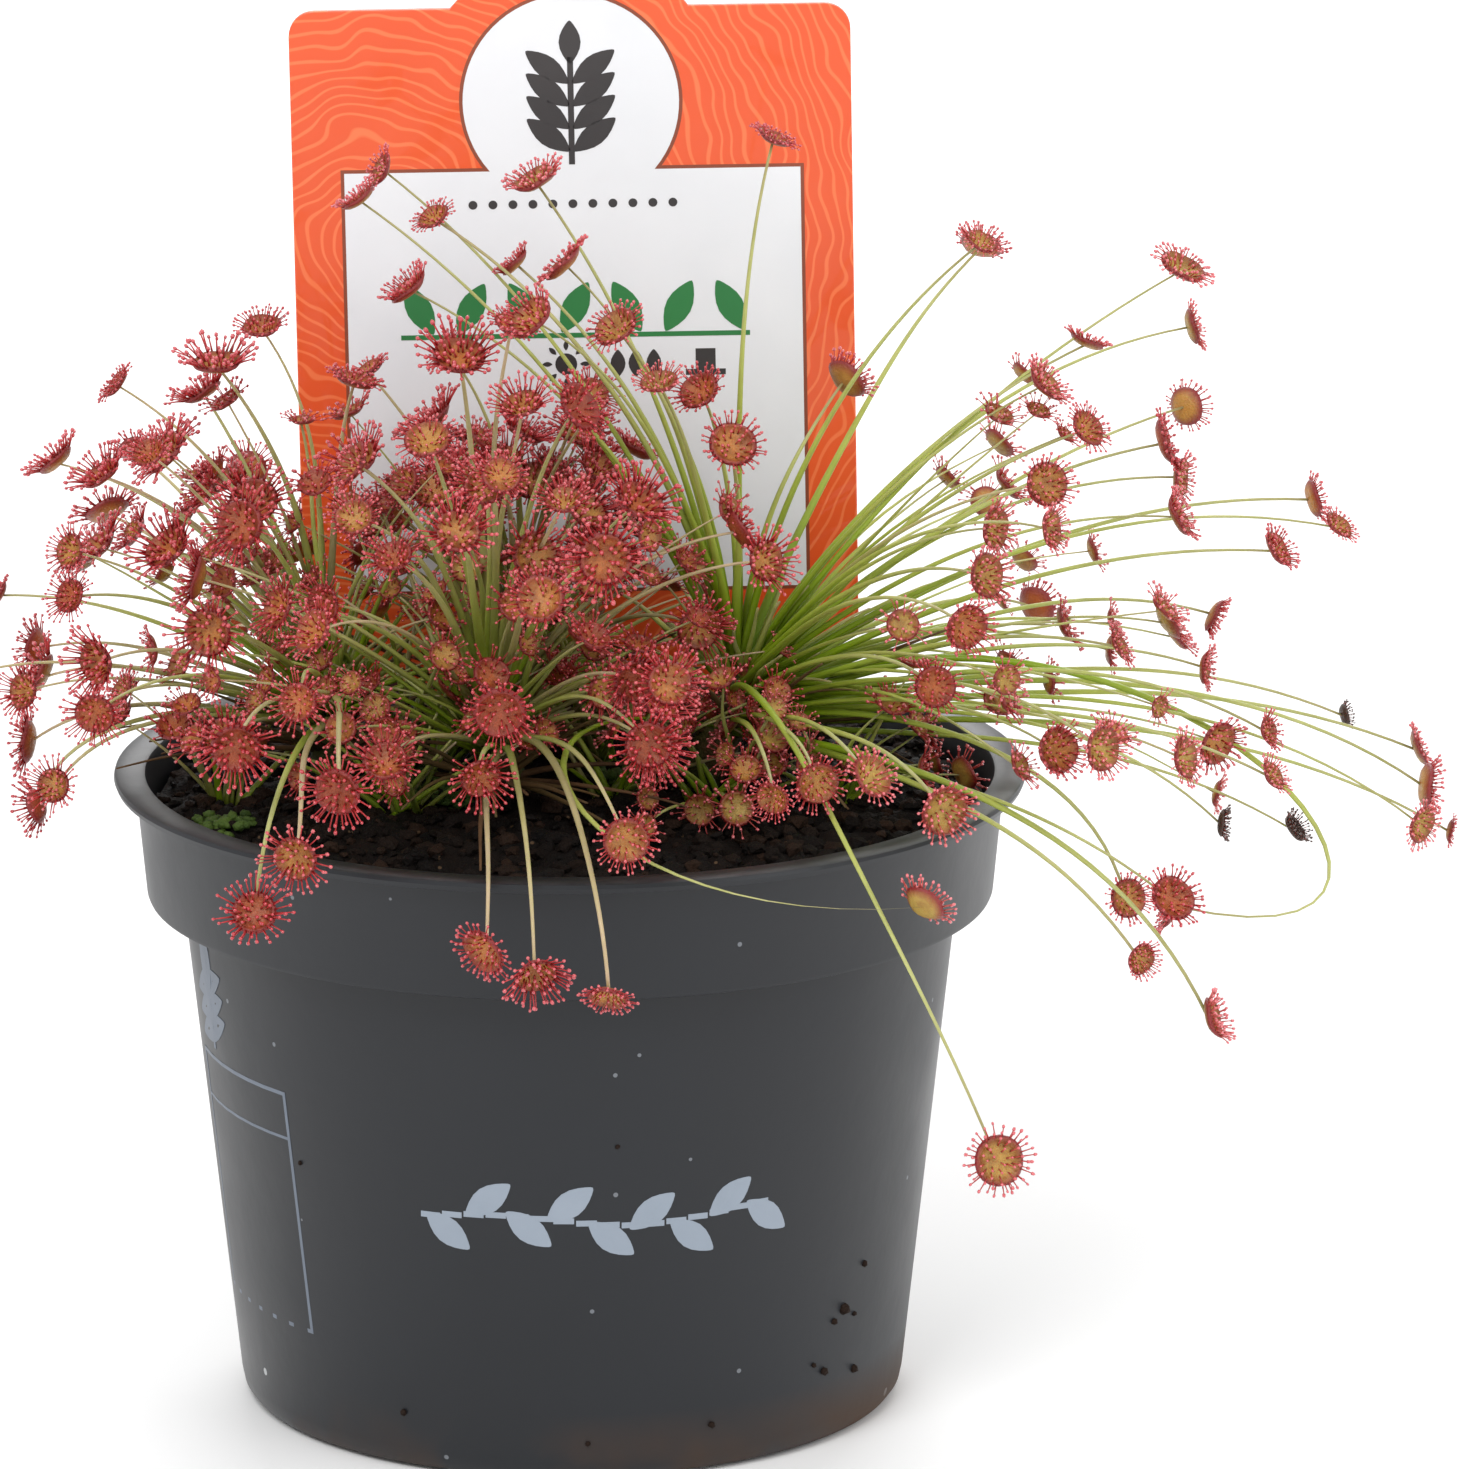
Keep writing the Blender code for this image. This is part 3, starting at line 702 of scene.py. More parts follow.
# %% Peat block
PEAT_TOP = 59.8 * MM
PEAT_DOME = 1.6 * MM
PEAT_EDGE = 59.0 * MM
PEAT_CORNERS = 110
PEAT_RINGS = 17
RING_WIDTH = 2.3 * MM


def peat_height(x, y):
    """The same rough dome as the solid's, with finer lumps on it."""
    radius = math.hypot(x, y)
    dome = PEAT_DOME * (1.0 - (radius / BAND_RADIUS) ** 2)
    rough = math.sin(x * 420.0 + 1.3) * math.cos(y * 510.0) + 0.6 * math.sin((x + y) * 900.0)
    spot = Vector((x, y, 0.0))
    lumps = 1.3 * noise.noise(spot * 190.0) + 1.0 * noise.noise(spot * 520.0)
    return PEAT_TOP + dome + 0.35 * MM * rough + 0.9 * MM * lumps


peat_profile = (
    (29.9 * MM, 2.7 * MM),
    (31.2 * MM, 3.8 * MM),
    (36.7 * MM, 51.0 * MM),
    (40.2 * MM, 52.7 * MM),
    (40.9 * MM, PEAT_EDGE),
)
peat = lathe("peat_block", peat_profile, PEAT_CORNERS)
activate(peat)
bpy.ops.object.mode_set(mode="EDIT")
for ring in range(PEAT_RINGS):
    bpy.ops.mesh.inset(thickness=RING_WIDTH)
bpy.ops.mesh.merge(type="CENTER")
close()
for polygon in peat.data.polygons:
    polygon.select = polygon.center.z > PEAT_EDGE - 0.2 * MM
bpy.ops.object.mode_set(mode="EDIT")
bpy.ops.mesh.select_mode(type="FACE")
bpy.ops.mesh.subdivide(number_cuts=2)
close()
for vertex in peat.data.vertices:
    if vertex.co.z > PEAT_EDGE - 0.1 * MM:
        vertex.co.z = peat_height(vertex.co.x, vertex.co.y)
outward(peat)
smooth(peat, 60.0)

# %% Peat crumbs
CRUMB_COUNT = 2600
CRUMB_SIZES = (0.35, 0.45, 0.6, 0.8, 1.15)
CRUMB_REACH = 40.3 * MM


def crumb_model():
    """A ball one metre in radius with a few uneven faces, which each copy scales down."""
    deselect()
    bpy.ops.mesh.primitive_ico_sphere_add(subdivisions=1, radius=1.0)
    piece = named("crumb")
    edit(piece)
    bpy.ops.transform.vertex_random(offset=0.35, seed=4)
    close()
    mark(piece.data, "along", np.zeros(len(piece.data.vertices)))
    return piece


def lie(x, y, size, rng):
    """A matrix that lays a crumb on the peat, turned and squashed at random."""
    turn = Matrix.Rotation(rng.uniform(0, 6.3), 4, "Z")
    tilt = Matrix.Rotation(rng.uniform(-0.7, 0.7), 4, "X")
    shape = Matrix.Diagonal((size * rng.uniform(0.7, 1.5), size, size * rng.uniform(0.5, 0.9), 1.0))
    return Matrix.Translation((x, y, peat_height(x, y) + size * 0.2)) @ (turn @ tilt) @ shape


crumb = crumb_model()
rng = random.Random(5)
crumb_places = []
for number in range(CRUMB_COUNT):
    radius = CRUMB_REACH * math.sqrt(rng.uniform(0.02, 1.0))
    turn = rng.uniform(0.0, FULL_TURN)
    size = rng.choice(CRUMB_SIZES) * MM
    crumb_places.append(lie(radius * math.cos(turn), radius * math.sin(turn), size, rng))
crumb_tints = [rng.random() for _ in crumb_places]

# %% Peat finish
def peat_finish():
    made, tree, shader = finish("peat", 0.85, Specular_IOR_Level=0.2)
    mottle = use(tree, MOTTLING, Scale=330.0)
    patches = span(tree, mottle["Patches"], 0.35, 0.68)
    base = blend(tree, patches, colour(7, 4, 3), colour(26, 17, 12))
    base = blend(tree, span(tree, attribute(tree, "tint"), 0.55, 1.0), base, colour(46, 30, 20))
    grit = use(tree, SPECKS, Scale=900.0, Size=0.2, Share=0.06)
    base = blend(tree, calc(tree, "MULTIPLY", grit["Mask"], 0.5), base, colour(130, 104, 78))
    rough = span(tree, mottle["Patches"], 0.3, 0.7, 0.6, 0.95)
    paint(tree, shader, base, rough, mottle["Grain"], 0.35 * MM)
    return made


PEAT_FINISH = peat_finish()
dress(peat, PEAT_FINISH)
crumbs = assemble("peat_crumbs", crumb, moved(crumb, crumb_places), crumb_tints, [PEAT_FINISH])
for polygon in crumbs.data.polygons:
    polygon.use_smooth = False
finish_piece(peat, "peat")
finish_piece(crumbs, None)

# %% [markdown]
# ## The label
# A printed plastic card on a pointed stake. It could be cut from a flat outline, but built as
# by hand it starts as a cube the size of the card: its upper corners are bevelled, its foot
# is extruded and drawn in to the stake, and a disc is joined on for the round head.

# %% Card
LABEL_X = 1.0 * MM
LABEL_Y = 27.0 * MM
LABEL_LEAN = math.radians(-0.95)
HALF_WIDTH = 28.0 * MM
CARD_FOOT = 72.0 * MM
SHOULDER = 134.5 * MM
CORNER = 2.6 * MM
HEAD = 125.0 * MM
HEAD_RADIUS = 15.2 * MM
HEAD_CORNERS = 72
THICK = 0.8 * MM
# The stake's half width and height below the card, in millimetres.
STAKE = ((23.0, 67.0), (7.5, 61.5), (7.5, 26.0), (0.4, 16.0))

deselect()
bpy.ops.mesh.primitive_cube_add(
    size=1.0,
    location=(0.0, 0.0, (SHOULDER + CARD_FOOT) / 2),
    scale=(2 * HALF_WIDTH, THICK, SHOULDER - CARD_FOOT),
)
card = named("label_card")
settle(card)
for edge in card.data.edges:
    ends = [card.data.vertices[i].co for i in edge.vertices]
    edge.select = all(e.z > HEAD for e in ends) and abs(ends[0].x - ends[1].x) < 0.1 * MM
for polygon in card.data.polygons:
    polygon.select = False
bpy.ops.object.mode_set(mode="EDIT")
bpy.ops.mesh.select_mode(type="EDGE")
bpy.ops.mesh.bevel(offset=CORNER, segments=8)
bpy.ops.mesh.select_mode(type="FACE")
bpy.ops.mesh.select_all(action="DESELECT")
close()
for polygon in card.data.polygons:
    polygon.select = polygon.normal.z < -0.9
bpy.ops.object.mode_set(mode="EDIT")
wide, high = HALF_WIDTH / MM, CARD_FOOT / MM
for next_wide, next_high in STAKE:
    draw_out((0.0, 0.0, (next_high - high) * MM), (0.0, 0.0, 0.0), next_wide / wide, 1.0)
    wide, high = next_wide, next_high
close()
head = disc_plate("label_head", (0.0, HEAD), HEAD_RADIUS, THICK, HEAD_CORNERS)
modify(card, "BOOLEAN", operation="UNION", solver="EXACT", object=head)
remove(head)
weld(card, 0.05 * MM)
modify(card, "BEVEL", width=0.12 * MM, segments=2, limit_method="ANGLE", angle_limit=1.0)
outward(card)
print("card:", [round(side / MM, 1) for side in card.dimensions], "mm")

# %% [markdown]
# The face of the card has a pale disc and a pale panel with a thin dark outline. A sprig, a
# row of green leaves and three small care signs fill them. All are thin plates, because a
# plate keeps a crisp edge at any distance. Nobody sees the back in the photograph: it gets
# the same pale field, with bars and leaf bullets where care notes would stand.

# %% Pale fields
FACE = -THICK / 2
FIELD_HALF_WIDTH = 22.8 * MM
FIELD_LOW = 75.0 * MM
FIELD_HIGH = 118.0 * MM
FIELD_DISC_RADIUS = 10.8 * MM
FIELD_THICK = 0.12 * MM
OUTLINE = 0.35 * MM


def field_plate(name, grow, thick):
    """The pale disc and panel as one plate, grown by a border."""
    low = (-FIELD_HALF_WIDTH - grow, FIELD_LOW - grow)
    panel = bar_plate(name, low, (FIELD_HALF_WIDTH + grow, FIELD_HIGH + grow), thick)
    disc = disc_plate("disc", (0.0, HEAD), FIELD_DISC_RADIUS + grow, thick, HEAD_CORNERS)
    modify(panel, "BOOLEAN", operation="UNION", solver="EXACT", object=disc)
    remove(disc)
    weld(panel, 0.02 * MM)
    return panel


def lay(piece, side):
    """Moves a plate from the middle of the card to its face (1) or its back (-1)."""
    settle(piece, Matrix.Translation((0.0, FACE * side, 0.0)))


outline_plate = field_plate("label_outline", OUTLINE, FIELD_THICK / 2)
field = field_plate("label_field", 0.0, FIELD_THICK)
lay(outline_plate, 1)
lay(field, 1)

# %% Signs on the face
INK = 0.18 * MM
UPRIGHT = math.radians(90.0)
ICON_LEAF = (5.4 * MM, 2.2 * MM)
ICON_TOP_LEAF = (4.4 * MM, 2.2 * MM)
ICON_LEAN = math.radians(52.0)
DOT_COUNT = 11
SIGN_HEIGHT = 98.2 * MM
SUN_X = -1.0 * MM
RAYS = 8
RAY = (1.0 * MM, 0.5 * MM)
RAY_CIRCLE = 1.9 * MM
DROP = (2.8 * MM, 1.5 * MM)
GREEN_COUNT = 7
GREEN_LEAF = (5.8 * MM, 2.6 * MM)

dark = [bar_plate("stalk", (-0.3 * MM, 118.6 * MM), (0.3 * MM, 129.5 * MM), INK)]
for number in range(4):
    for side in (-1, 1):
        spot = (side * 2.3 * MM, (121.6 + 2.3 * number) * MM)
        dark.append(leaf_plate("icon_leaf", spot, ICON_LEAF, UPRIGHT - ICON_LEAN * side, INK))
dark.append(leaf_plate("icon_leaf", (0.0, 131.0 * MM), ICON_TOP_LEAF, UPRIGHT, INK))
for number in range(DOT_COUNT):
    dark.append(disc_plate("dot", ((-10.0 + 2.0 * number) * MM, 114.6 * MM), 0.45 * MM, INK, 16))
dark.append(disc_plate("sun", (SUN_X, SIGN_HEIGHT), 1.1 * MM, INK))
for number in range(RAYS):
    turn = FULL_TURN / RAYS * number
    spot = (SUN_X + RAY_CIRCLE * math.cos(turn), SIGN_HEIGHT + RAY_CIRCLE * math.sin(turn))
    dark.append(leaf_plate("ray", spot, RAY, turn, INK))
for x in (4.2, 6.0, 7.8):
    dark.append(leaf_plate("drop", (x * MM, SIGN_HEIGHT), DROP, UPRIGHT, INK))
dark.append(bar_plate("tray", (11.0 * MM, 96.9 * MM), (15.0 * MM, 97.5 * MM), INK))
dark.append(bar_plate("tray", (12.0 * MM, 97.5 * MM), (14.0 * MM, 99.6 * MM), INK))
dark_print = join("label_signs", dark)

green = []
for number in range(GREEN_COUNT):
    lean = math.radians(62.0 if number % 2 else 118.0)
    spot = ((-15.6 + 5.2 * number) * MM, 104.0 * MM)
    green.append(leaf_plate("green_leaf", spot, GREEN_LEAF, lean, INK))
green.append(bar_plate("green_stem", (-17.5 * MM, 100.9 * MM), (17.5 * MM, 101.4 * MM), INK))
green_print = join("label_leaves", green)
lay(dark_print, 1)
lay(green_print, 1)
print("signs on the face:", len(dark) + len(green), "plates")

# %% Bars on the back
BAR_COUNT = 6
BAR_STEP = 5.2
BULLET = (3.6 * MM, 2.0 * MM)
BACK_LEAF = (13.0 * MM, 6.0 * MM)

back_field = field_plate("label_back_field", 0.0, FIELD_THICK)
lines = []
for number in range(BAR_COUNT):
    low = (111.0 - BAR_STEP * number) * MM
    end = (18.0 - 3.0 * (number % 3)) * MM
    lines.append(leaf_plate("line_leaf", (-17.5 * MM, low + 0.5 * MM), BULLET, 0.5, INK))
    lines.append(bar_plate("line", (-13.5 * MM, low), (end, low + 0.9 * MM), INK))
lines.append(leaf_plate("line_leaf", (0.0, HEAD), BACK_LEAF, math.radians(60.0), INK))
back_lines = join("label_back_lines", lines)
lay(back_field, -1)
lay(back_lines, -1)
print("back of the card:", len(lines), "plates")

# %% [markdown]
# The card is glossy orange with a faint pattern of wavy rings in a lighter orange. A Wave
# texture with strong distortion draws it, and a Mapping node moves the rings' middle off the
# card. The printed fields are two-tone inks.

# %% Label finishes
def card_finish():
    made, tree, shader = finish("label_orange", 0.34, Coat_Weight=0.3)
    mottle = use(tree, MOTTLING, Scale=70.0)
    swirl = add(
        tree, "ShaderNodeTexWave", wave_type="RINGS", rings_direction="Y", Scale=260.0, Distortion=14.0,
        Detail=1.0, Detail_Scale=0.55,
    )
    shift = add(tree, "ShaderNodeMapping", Location=(0.02, 0.0, -0.11))
    tree.links.new(surface_point(tree), shift.inputs["Vector"])
    tree.links.new(shift.outputs[0], swirl.inputs["Vector"])
    waves = span(tree, swirl.outputs["Fac"], 0.78, 0.95, 0.0, 0.55)
    base = blend(tree, mottle["Patches"], colour(228, 80, 30), colour(238, 92, 38))
    base = blend(tree, waves, base, colour(252, 138, 84))
    paint(tree, shader, base, span(tree, mottle["Grain"], 0.3, 0.7, 0.3, 0.42))
    return made


def label_ink(name, first, second):
    return two_tone(name, 0.4, 90.0, first, second)


finishes = (
    (card, card_finish()),
    (outline_plate, label_ink("outline_ink", colour(126, 62, 40), colour(150, 76, 50))),
    (field, label_ink("field_ink", colour(224, 226, 230), colour(238, 239, 242))),
    (dark_print, label_ink("sign_ink", colour(40, 38, 40), colour(66, 62, 62))),
    (green_print, label_ink("leaf_ink", colour(34, 110, 58), colour(52, 134, 72))),
    (back_field, label_ink("back_field_ink", colour(222, 222, 220), colour(234, 234, 232))),
    (back_lines, label_ink("back_line_ink", colour(96, 118, 92), colour(116, 136, 110))),
)
label_place = (
    Matrix.Translation((LABEL_X, LABEL_Y, PEAT_TOP))
    @ Matrix.Rotation(LABEL_LEAN, 4, "Y")
    @ Matrix.Translation((0.0, 0.0, -PEAT_TOP))
)
for piece, look in finishes:
    settle(piece, label_place)
    dress(piece, look)
    finish_piece(piece, "label" if piece is card else None)

# %% [markdown]
# ## Where the leaves stand
# The solids were grown by a rule: tips chosen from the photograph first, then seeded
# leaves that fill the sides. The same rule, with the same seed, gives the same leaves here,
# so the detailed petioles and traps stand exactly on the solid ones.

# %% Rosettes and chosen tips
SEED = 21

# Each rosette: where its stem stands, where its crown ends, how many more leaves the rule
# adds, the compass sector, reach and rise that they keep to (degrees from +X, millimetres),
# and how large its traps are.
ROSETTES = {
    "rosette_right": {
        "foot": (13.0, 1.0), "crown": (17.0, 2.0, 73.0), "fill": 16, "size": (0.72, 1.1),
        "sector": (-60.0, 132.0), "reach": (32.0, 62.0), "rise": (-2.0, 48.0),
    },
    "rosette_middle": {
        "foot": (-6.0, -5.0), "crown": (-8.0, -6.0, 70.0), "fill": 16, "size": (0.86, 1.2),
        "sector": (180.0, 355.0), "reach": (20.0, 38.0), "rise": (4.0, 66.0),
    },
    "rosette_left": {
        "foot": (-23.0, 3.0), "crown": (-24.0, 3.0, 71.0), "fill": 15, "size": (0.78, 1.18),
        "sector": (80.0, 250.0), "reach": (22.0, 38.0), "rise": (-4.0, 64.0),
    },
    "rosette_back": {
        "foot": (-5.0, 12.0), "crown": (-5.0, 12.0, 71.0), "fill": 34, "size": (0.8, 1.15),
        "sector": (150.0, 390.0), "reach": (13.0, 29.0), "rise": (18.0, 80.0),
    },
}

# Tips of the leaves that stand out to the eye, in millimetres (x, y, z).
PLACED_TIPS = {
    "rosette_right": (
        (40, -5, 117), (60, 6, 112), (46, -10, 104), (50, -16, 101), (58, 0, 96), (46, -22, 97),
        (46, -32, 95), (59, -10, 91), (73, 6, 89), (75, -6, 89), (38, -38, 87), (40, -26, 89),
        (59, 12, 75), (64, 20, 74), (62, -6, 75), (53, -22, 81), (68, -12, 70), (68, -22, 68),
        (59, -30, 72), (63, -12, 69), (51, -34, 74), (77, 14, 65), (84, 8, 63), (84, -2, 62),
        (83, -13, 61), (87, 3, 56), (63, -24, 64), (71, -8, 59), (54, -26, 57), (58, -34, 59),
        (53, -42, 54), (58, -33, 46), (36, -38, 69), (29, -38, 72),
        (24, -35, 71), (20, -37, 70), (20, 6, 125), (27, 10, 100), (16, -10, 98), (9, -14, 105),
        (13, -4, 102), (5, -12, 110), (-3, -17, 112), (0, -6, 115), (-5, 4, 113), (-3, 0, 122),
        (-13, 2, 118), (-18, 6, 122), (-20, -4, 121), (-15, -8, 113),
    ),
    "rosette_middle": (
        (-10, -16, 108), (-10, -8, 111), (-13, -26, 102), (-4, -24, 105), (1, -20, 104),
        (4, -40, 94), (-2, -40, 90), (-10, -38, 96), (-16, -36, 93), (-20, -28, 95),
        (-20, -18, 98), (-6, -32, 100), (0, -30, 97), (7, -26, 96), (-7, -50, 59), (0, -51, 56),
        (5, -50, 55), (7, -49, 66), (4, -35, 72), (-8, -37, 72), (-6, -39, 79), (10, -35, 71),
        (10, -37, 81),
    ),
    "rosette_left": (
        (-30, 2, 107), (-34, -6, 105), (-36, 8, 99), (-21, 0, 102), (-50, 0, 94), (-45, -10, 95),
        (-40, -18, 99), (-40, 10, 93), (-31, -22, 93), (-48, -12, 88), (-46, 2, 85),
        (-43, 12, 84), (-56, 3, 80), (-48, -14, 84), (-34, -28, 84), (-53, -8, 73), (-52, 6, 71),
        (-45, -20, 79), (-45, -28, 76), (-53, 0, 66), (-50, -14, 65), (-52, -6, 61),
        (-29, -50, 62), (-25, -48, 67), (-21, -46, 73), (-25, -40, 80), (-31, -41, 76),
    ),
    "rosette_back": ((-20, 14, 100), (-12, 10, 103), (2, 8, 99), (6, 14, 92)),
}

# Leaves that curl round on themselves, as the four points of their curves, in millimetres.
CURLED = {
    "rosette_right": (
        ((16, 0, 67), (-12, -14, 78), (-2, -62, 63), (34, -44, 61)),
        ((17, 1, 70), (60, -6, 90), (96, -14, 44), (59, -18, 54)),
        ((16, 0, 70), (16, -22, 84), (30, -46, 64), (41, -54, 39)),
    ),
}
# %% Curves of the leaves
def direction(azimuth, elevation):
    """Unit vector from a compass angle and a height angle, both in radians."""
    flat = math.cos(elevation)
    return np.array([math.cos(azimuth) * flat, math.sin(azimuth) * flat, math.sin(elevation)])


def unit(vector):
    return vector / np.linalg.norm(vector)


def bezier(curve, t):
    """Points of a cubic curve at the shares t of its way."""
    p0, p1, p2, p3 = curve
    t = t[:, None]
    s = 1.0 - t
    return p0 * s**3 + 3 * p1 * s**2 * t + 3 * p2 * s * t**2 + p3 * t**3


def leaf_toward(rosette, tip, arch):
    """A leaf of the rosette that ends at tip and bows by the angle arch."""
    foot_x, foot_y = rosette["foot"]
    crown = np.array(rosette["crown"]) * MM
    foot = np.array([foot_x * MM, foot_y * MM, PEAT_TOP + PEAT_DOME])
    reach = tip - crown
    chord = math.atan2(reach[2], math.hypot(reach[0], reach[1]))
    azimuth = math.atan2(reach[1], reach[0])
    height = min(1.0, max(0.0, (math.degrees(chord) + 35.0) / 80.0))
    root = foot + (crown - foot) * (0.38 + 0.5 * height)
    length = float(np.linalg.norm(tip - root))
    over_lip = math.hypot(tip[0], tip[1]) < LIP_RADIUS + 15.0 * MM
    droop = max(0.0, -chord - math.radians(4.0)) if over_lip else 0.0
    out = direction(azimuth, min(chord + arch + 1.7 * droop, math.radians(86.0)))
    down = direction(azimuth, max(chord - 1.15 * arch - 2.2 * droop, math.radians(-78.0)))
    return {"curve": (root, root + out * length * 0.36, tip - down * length * 0.34, tip), "end": down}


def curled_leaf(points, shift):
    """A leaf whose whole curve is given. The shift moves its outer half."""
    root, out, back, tip = (np.array(point) * MM for point in points)
    back, tip = back + shift, tip + shift
    return {"curve": (root, out, back, tip), "end": unit(tip - back)}


def random_way(rng):
    return np.array([rng.uniform(-1, 1) for _ in range(3)])


def trap_axis(leaf, rng):
    """The way that a trap faces: out along its petiole, turned up, and a little at random."""
    wobble = random_way(rng)
    end = leaf["end"] * np.array([1.0, 1.0, 0.25 if leaf["end"][2] < 0.0 else 1.0])
    return unit(unit(end) + 0.3 * np.array([0.0, 0.0, 1.0]) + 0.5 * wobble)


# %% [markdown]
# A leaf mustn't run into the pot, the peat, the label or another rosette. Testing real meshes
# would be slow, so a leaf is tested as a cloud of points: those of its curve, and rings on
# the disc of its trap.

# %% Room for a leaf
TRAP_RADIUS = 3.5 * MM
PETIOLE_ROOT_RADIUS = 0.72 * MM
CLEARANCE = 0.5 * MM
CURVE_POINTS = 46
BURIED_POINTS = 8
TRIES = 60


def disc_points(centre, axis, radius):
    """The middle and three rings of a trap, used to keep it clear of its neighbours."""
    side = unit(np.cross(axis, [0.0, 0.0, 1.0] if abs(axis[2]) < 0.9 else [1.0, 0.0, 0.0]))
    across = np.cross(axis, side)
    points = [centre]
    for share, count in ((0.36, 6), (0.7, 10), (1.0, 16)):
        for step in range(count):
            turn = FULL_TURN * step / count
            arm = side * math.cos(turn) + across * math.sin(turn)
            points.append(centre + arm * radius * share)
    return np.array(points)


def clear_of_holder(points, margin):
    """True if no point lies in the pot's wall, in the peat or in the label."""
    radius = np.hypot(points[:, 0], points[:, 1])
    height = points[:, 2]
    wall = (radius > LIP_RADIUS - 4.2 * MM - margin) & (radius < LIP_RADIUS + margin)
    if (wall & (height < POT_HEIGHT + margin)).any():
        return False
    peat = (radius < LIP_RADIUS) & (radius > 5.0 * MM)
    if (peat & (height < PEAT_TOP + PEAT_DOME + 0.9 * MM + margin)).any():
        return False
    card = (np.abs(points[:, 1] - LABEL_Y) < THICK / 2 + 0.5 * MM + margin)
    card &= np.abs(points[:, 0] - LABEL_X) < HALF_WIDTH + 1.5 * MM + margin
    return not card.any()


def nearest(points, others):
    """The shortest distance between two clouds of points."""
    if not len(others):
        return math.inf
    squares = (points**2).sum(1)[:, None] + (others**2).sum(1)[None] - 2.0 * points @ others.T
    return math.sqrt(max(0.0, float(squares.min())))


def leaf_fits(leaf, own, taken):
    """True if the leaf is clear of the pot, the peat, the label and every other rosette."""
    stalk, trap = leaf["stalk"], leaf["disc"]
    if not clear_of_holder(stalk[BURIED_POINTS:], PETIOLE_ROOT_RADIUS + CLEARANCE):
        return False
    if not clear_of_holder(trap, 0.5 * MM + CLEARANCE):
        return False
    thick = 2.0 * PETIOLE_ROOT_RADIUS + CLEARANCE + 0.2 * MM
    for name, group in taken.items():
        if name == own or not group:
            continue
        stalks = np.concatenate([other["stalk"] for other in group])
        traps = np.concatenate([other["disc"] for other in group])
        if nearest(stalk, stalks) < thick or nearest(trap, traps) < 1.5 * MM:
            return False
        if nearest(stalk, traps) < thick or nearest(trap, stalks) < thick:
            return False
    return True


# %% The leaf rule
def try_leaf(name, tip, arch, size, rng, taken, curl=None):
    """Places one leaf, and moves its tip a little further at each try until it is clear."""
    for attempt in range(TRIES):
        spread = 0.16 * MM * attempt
        shift = random_way(rng)
        bow = arch + math.radians(0.5 * attempt) * rng.uniform(-0.6, 1.0)
        if curl is None:
            leaf = leaf_toward(ROSETTES[name], tip + spread * shift, bow)
        else:
            leaf = curled_leaf(curl, spread * shift)
        leaf["size"] = size
        leaf["axis"] = trap_axis(leaf, rng)
        leaf["stalk"] = bezier(leaf["curve"], np.linspace(0.0, 1.0, CURVE_POINTS))
        leaf["disc"] = disc_points(leaf["curve"][3], leaf["axis"], TRAP_RADIUS * size)
        if leaf_fits(leaf, name, taken):
            taken[name].append(leaf)
            return


def grow_leaves():
    """All leaves of all rosettes: the placed ones first, then those that the rule adds."""
    rng = random.Random(SEED)
    taken = {name: [] for name in ROSETTES}
    for name, curls in CURLED.items():
        for curl in curls:
            try_leaf(name, None, 0.0, 1.0, rng, taken, curl)
    for name, tips in PLACED_TIPS.items():
        for tip in tips:
            arch = math.radians(rng.uniform(10.0, 24.0))
            size = rng.uniform(*ROSETTES[name]["size"])
            try_leaf(name, np.array(tip) * MM, arch, size, rng, taken)
    for name, rosette in ROSETTES.items():
        low, high = rosette["sector"]
        for number in range(rosette["fill"]):
            share = (number + rng.uniform(0.2, 0.8)) / rosette["fill"]
            azimuth = math.radians(low + (high - low) * share)
            rise = math.radians(rng.uniform(*rosette["rise"]))
            reach = rng.uniform(*rosette["reach"]) * MM
            tip = np.array(rosette["crown"]) * MM + direction(azimuth, rise) * reach
            arch = math.radians(rng.uniform(10.0, 26.0))
            size = rng.uniform(*rosette["size"])
            try_leaf(name, tip, arch, size, rng, taken)
    return taken


grown = grow_leaves()
print("leaves:", {name: len(leaves) for name, leaves in grown.items()})

# %% [markdown]
# ## Petioles
# A petiole is the thin stalk that carries a trap. A curve with a bevel would do for one, but
# a single straight petiole is modelled with operators and copied, each copy laid along its
# leaf's curve: wide and a little flat at the root, thin at the trap. Its attribute `along`
# runs from 0 at the root to 1 at the trap, so that the finish can go from green to straw.
# A shorter one with fewer faces serves the small leaves.

# %% Petiole models
def petiole_model(name, sides, rings):
    """A straight petiole, one metre high and two wide, which each copy scales down."""
    piece = flat_disc(name, sides, 1.0)
    edit(piece)
    for ring in range(rings):
        bpy.ops.mesh.extrude_region_move(TRANSFORM_OT_translate={"value": (0.0, 0.0, 1.0 / rings)})
    close()
    outward(piece)
    mark(piece.data, "along", [v.co.z for v in piece.data.vertices])
    return piece


def laid_along(model, leaf, rng):
    """The model's vertices, bent along the leaf's curve, with a slight wave of its own."""
    points = read(model.data.vertices, "co", 3)
    t = np.clip(points[:, 2], 0.0, 1.0)
    centre = bezier(leaf["curve"], t)
    p0, p1, p2, p3 = leaf["curve"]
    u = t[:, None]
    s = 1.0 - u
    heading = (p1 - p0) * s**2 + 2 * (p2 - p1) * s * u + (p3 - p2) * u**2
    heading /= np.linalg.norm(heading, axis=1)[:, None]
    chord = p3 - p0
    side = unit(np.array([-chord[1], chord[0], 0.0]))
    over = np.cross(heading, side)
    width = (0.17 + 0.45 * (1.0 - t) ** 1.25) * MM * leaf["stout"]
    wave = np.sin(t * rng.uniform(4.0, 8.0) + rng.uniform(0, 6.3)) * np.sin(t * math.pi)
    sway = rng.uniform(0.1, 0.45) * MM * wave
    flat = (points[:, 0] * width + sway)[:, None] * side
    return centre + flat + (points[:, 1] * width * 0.7)[:, None] * over


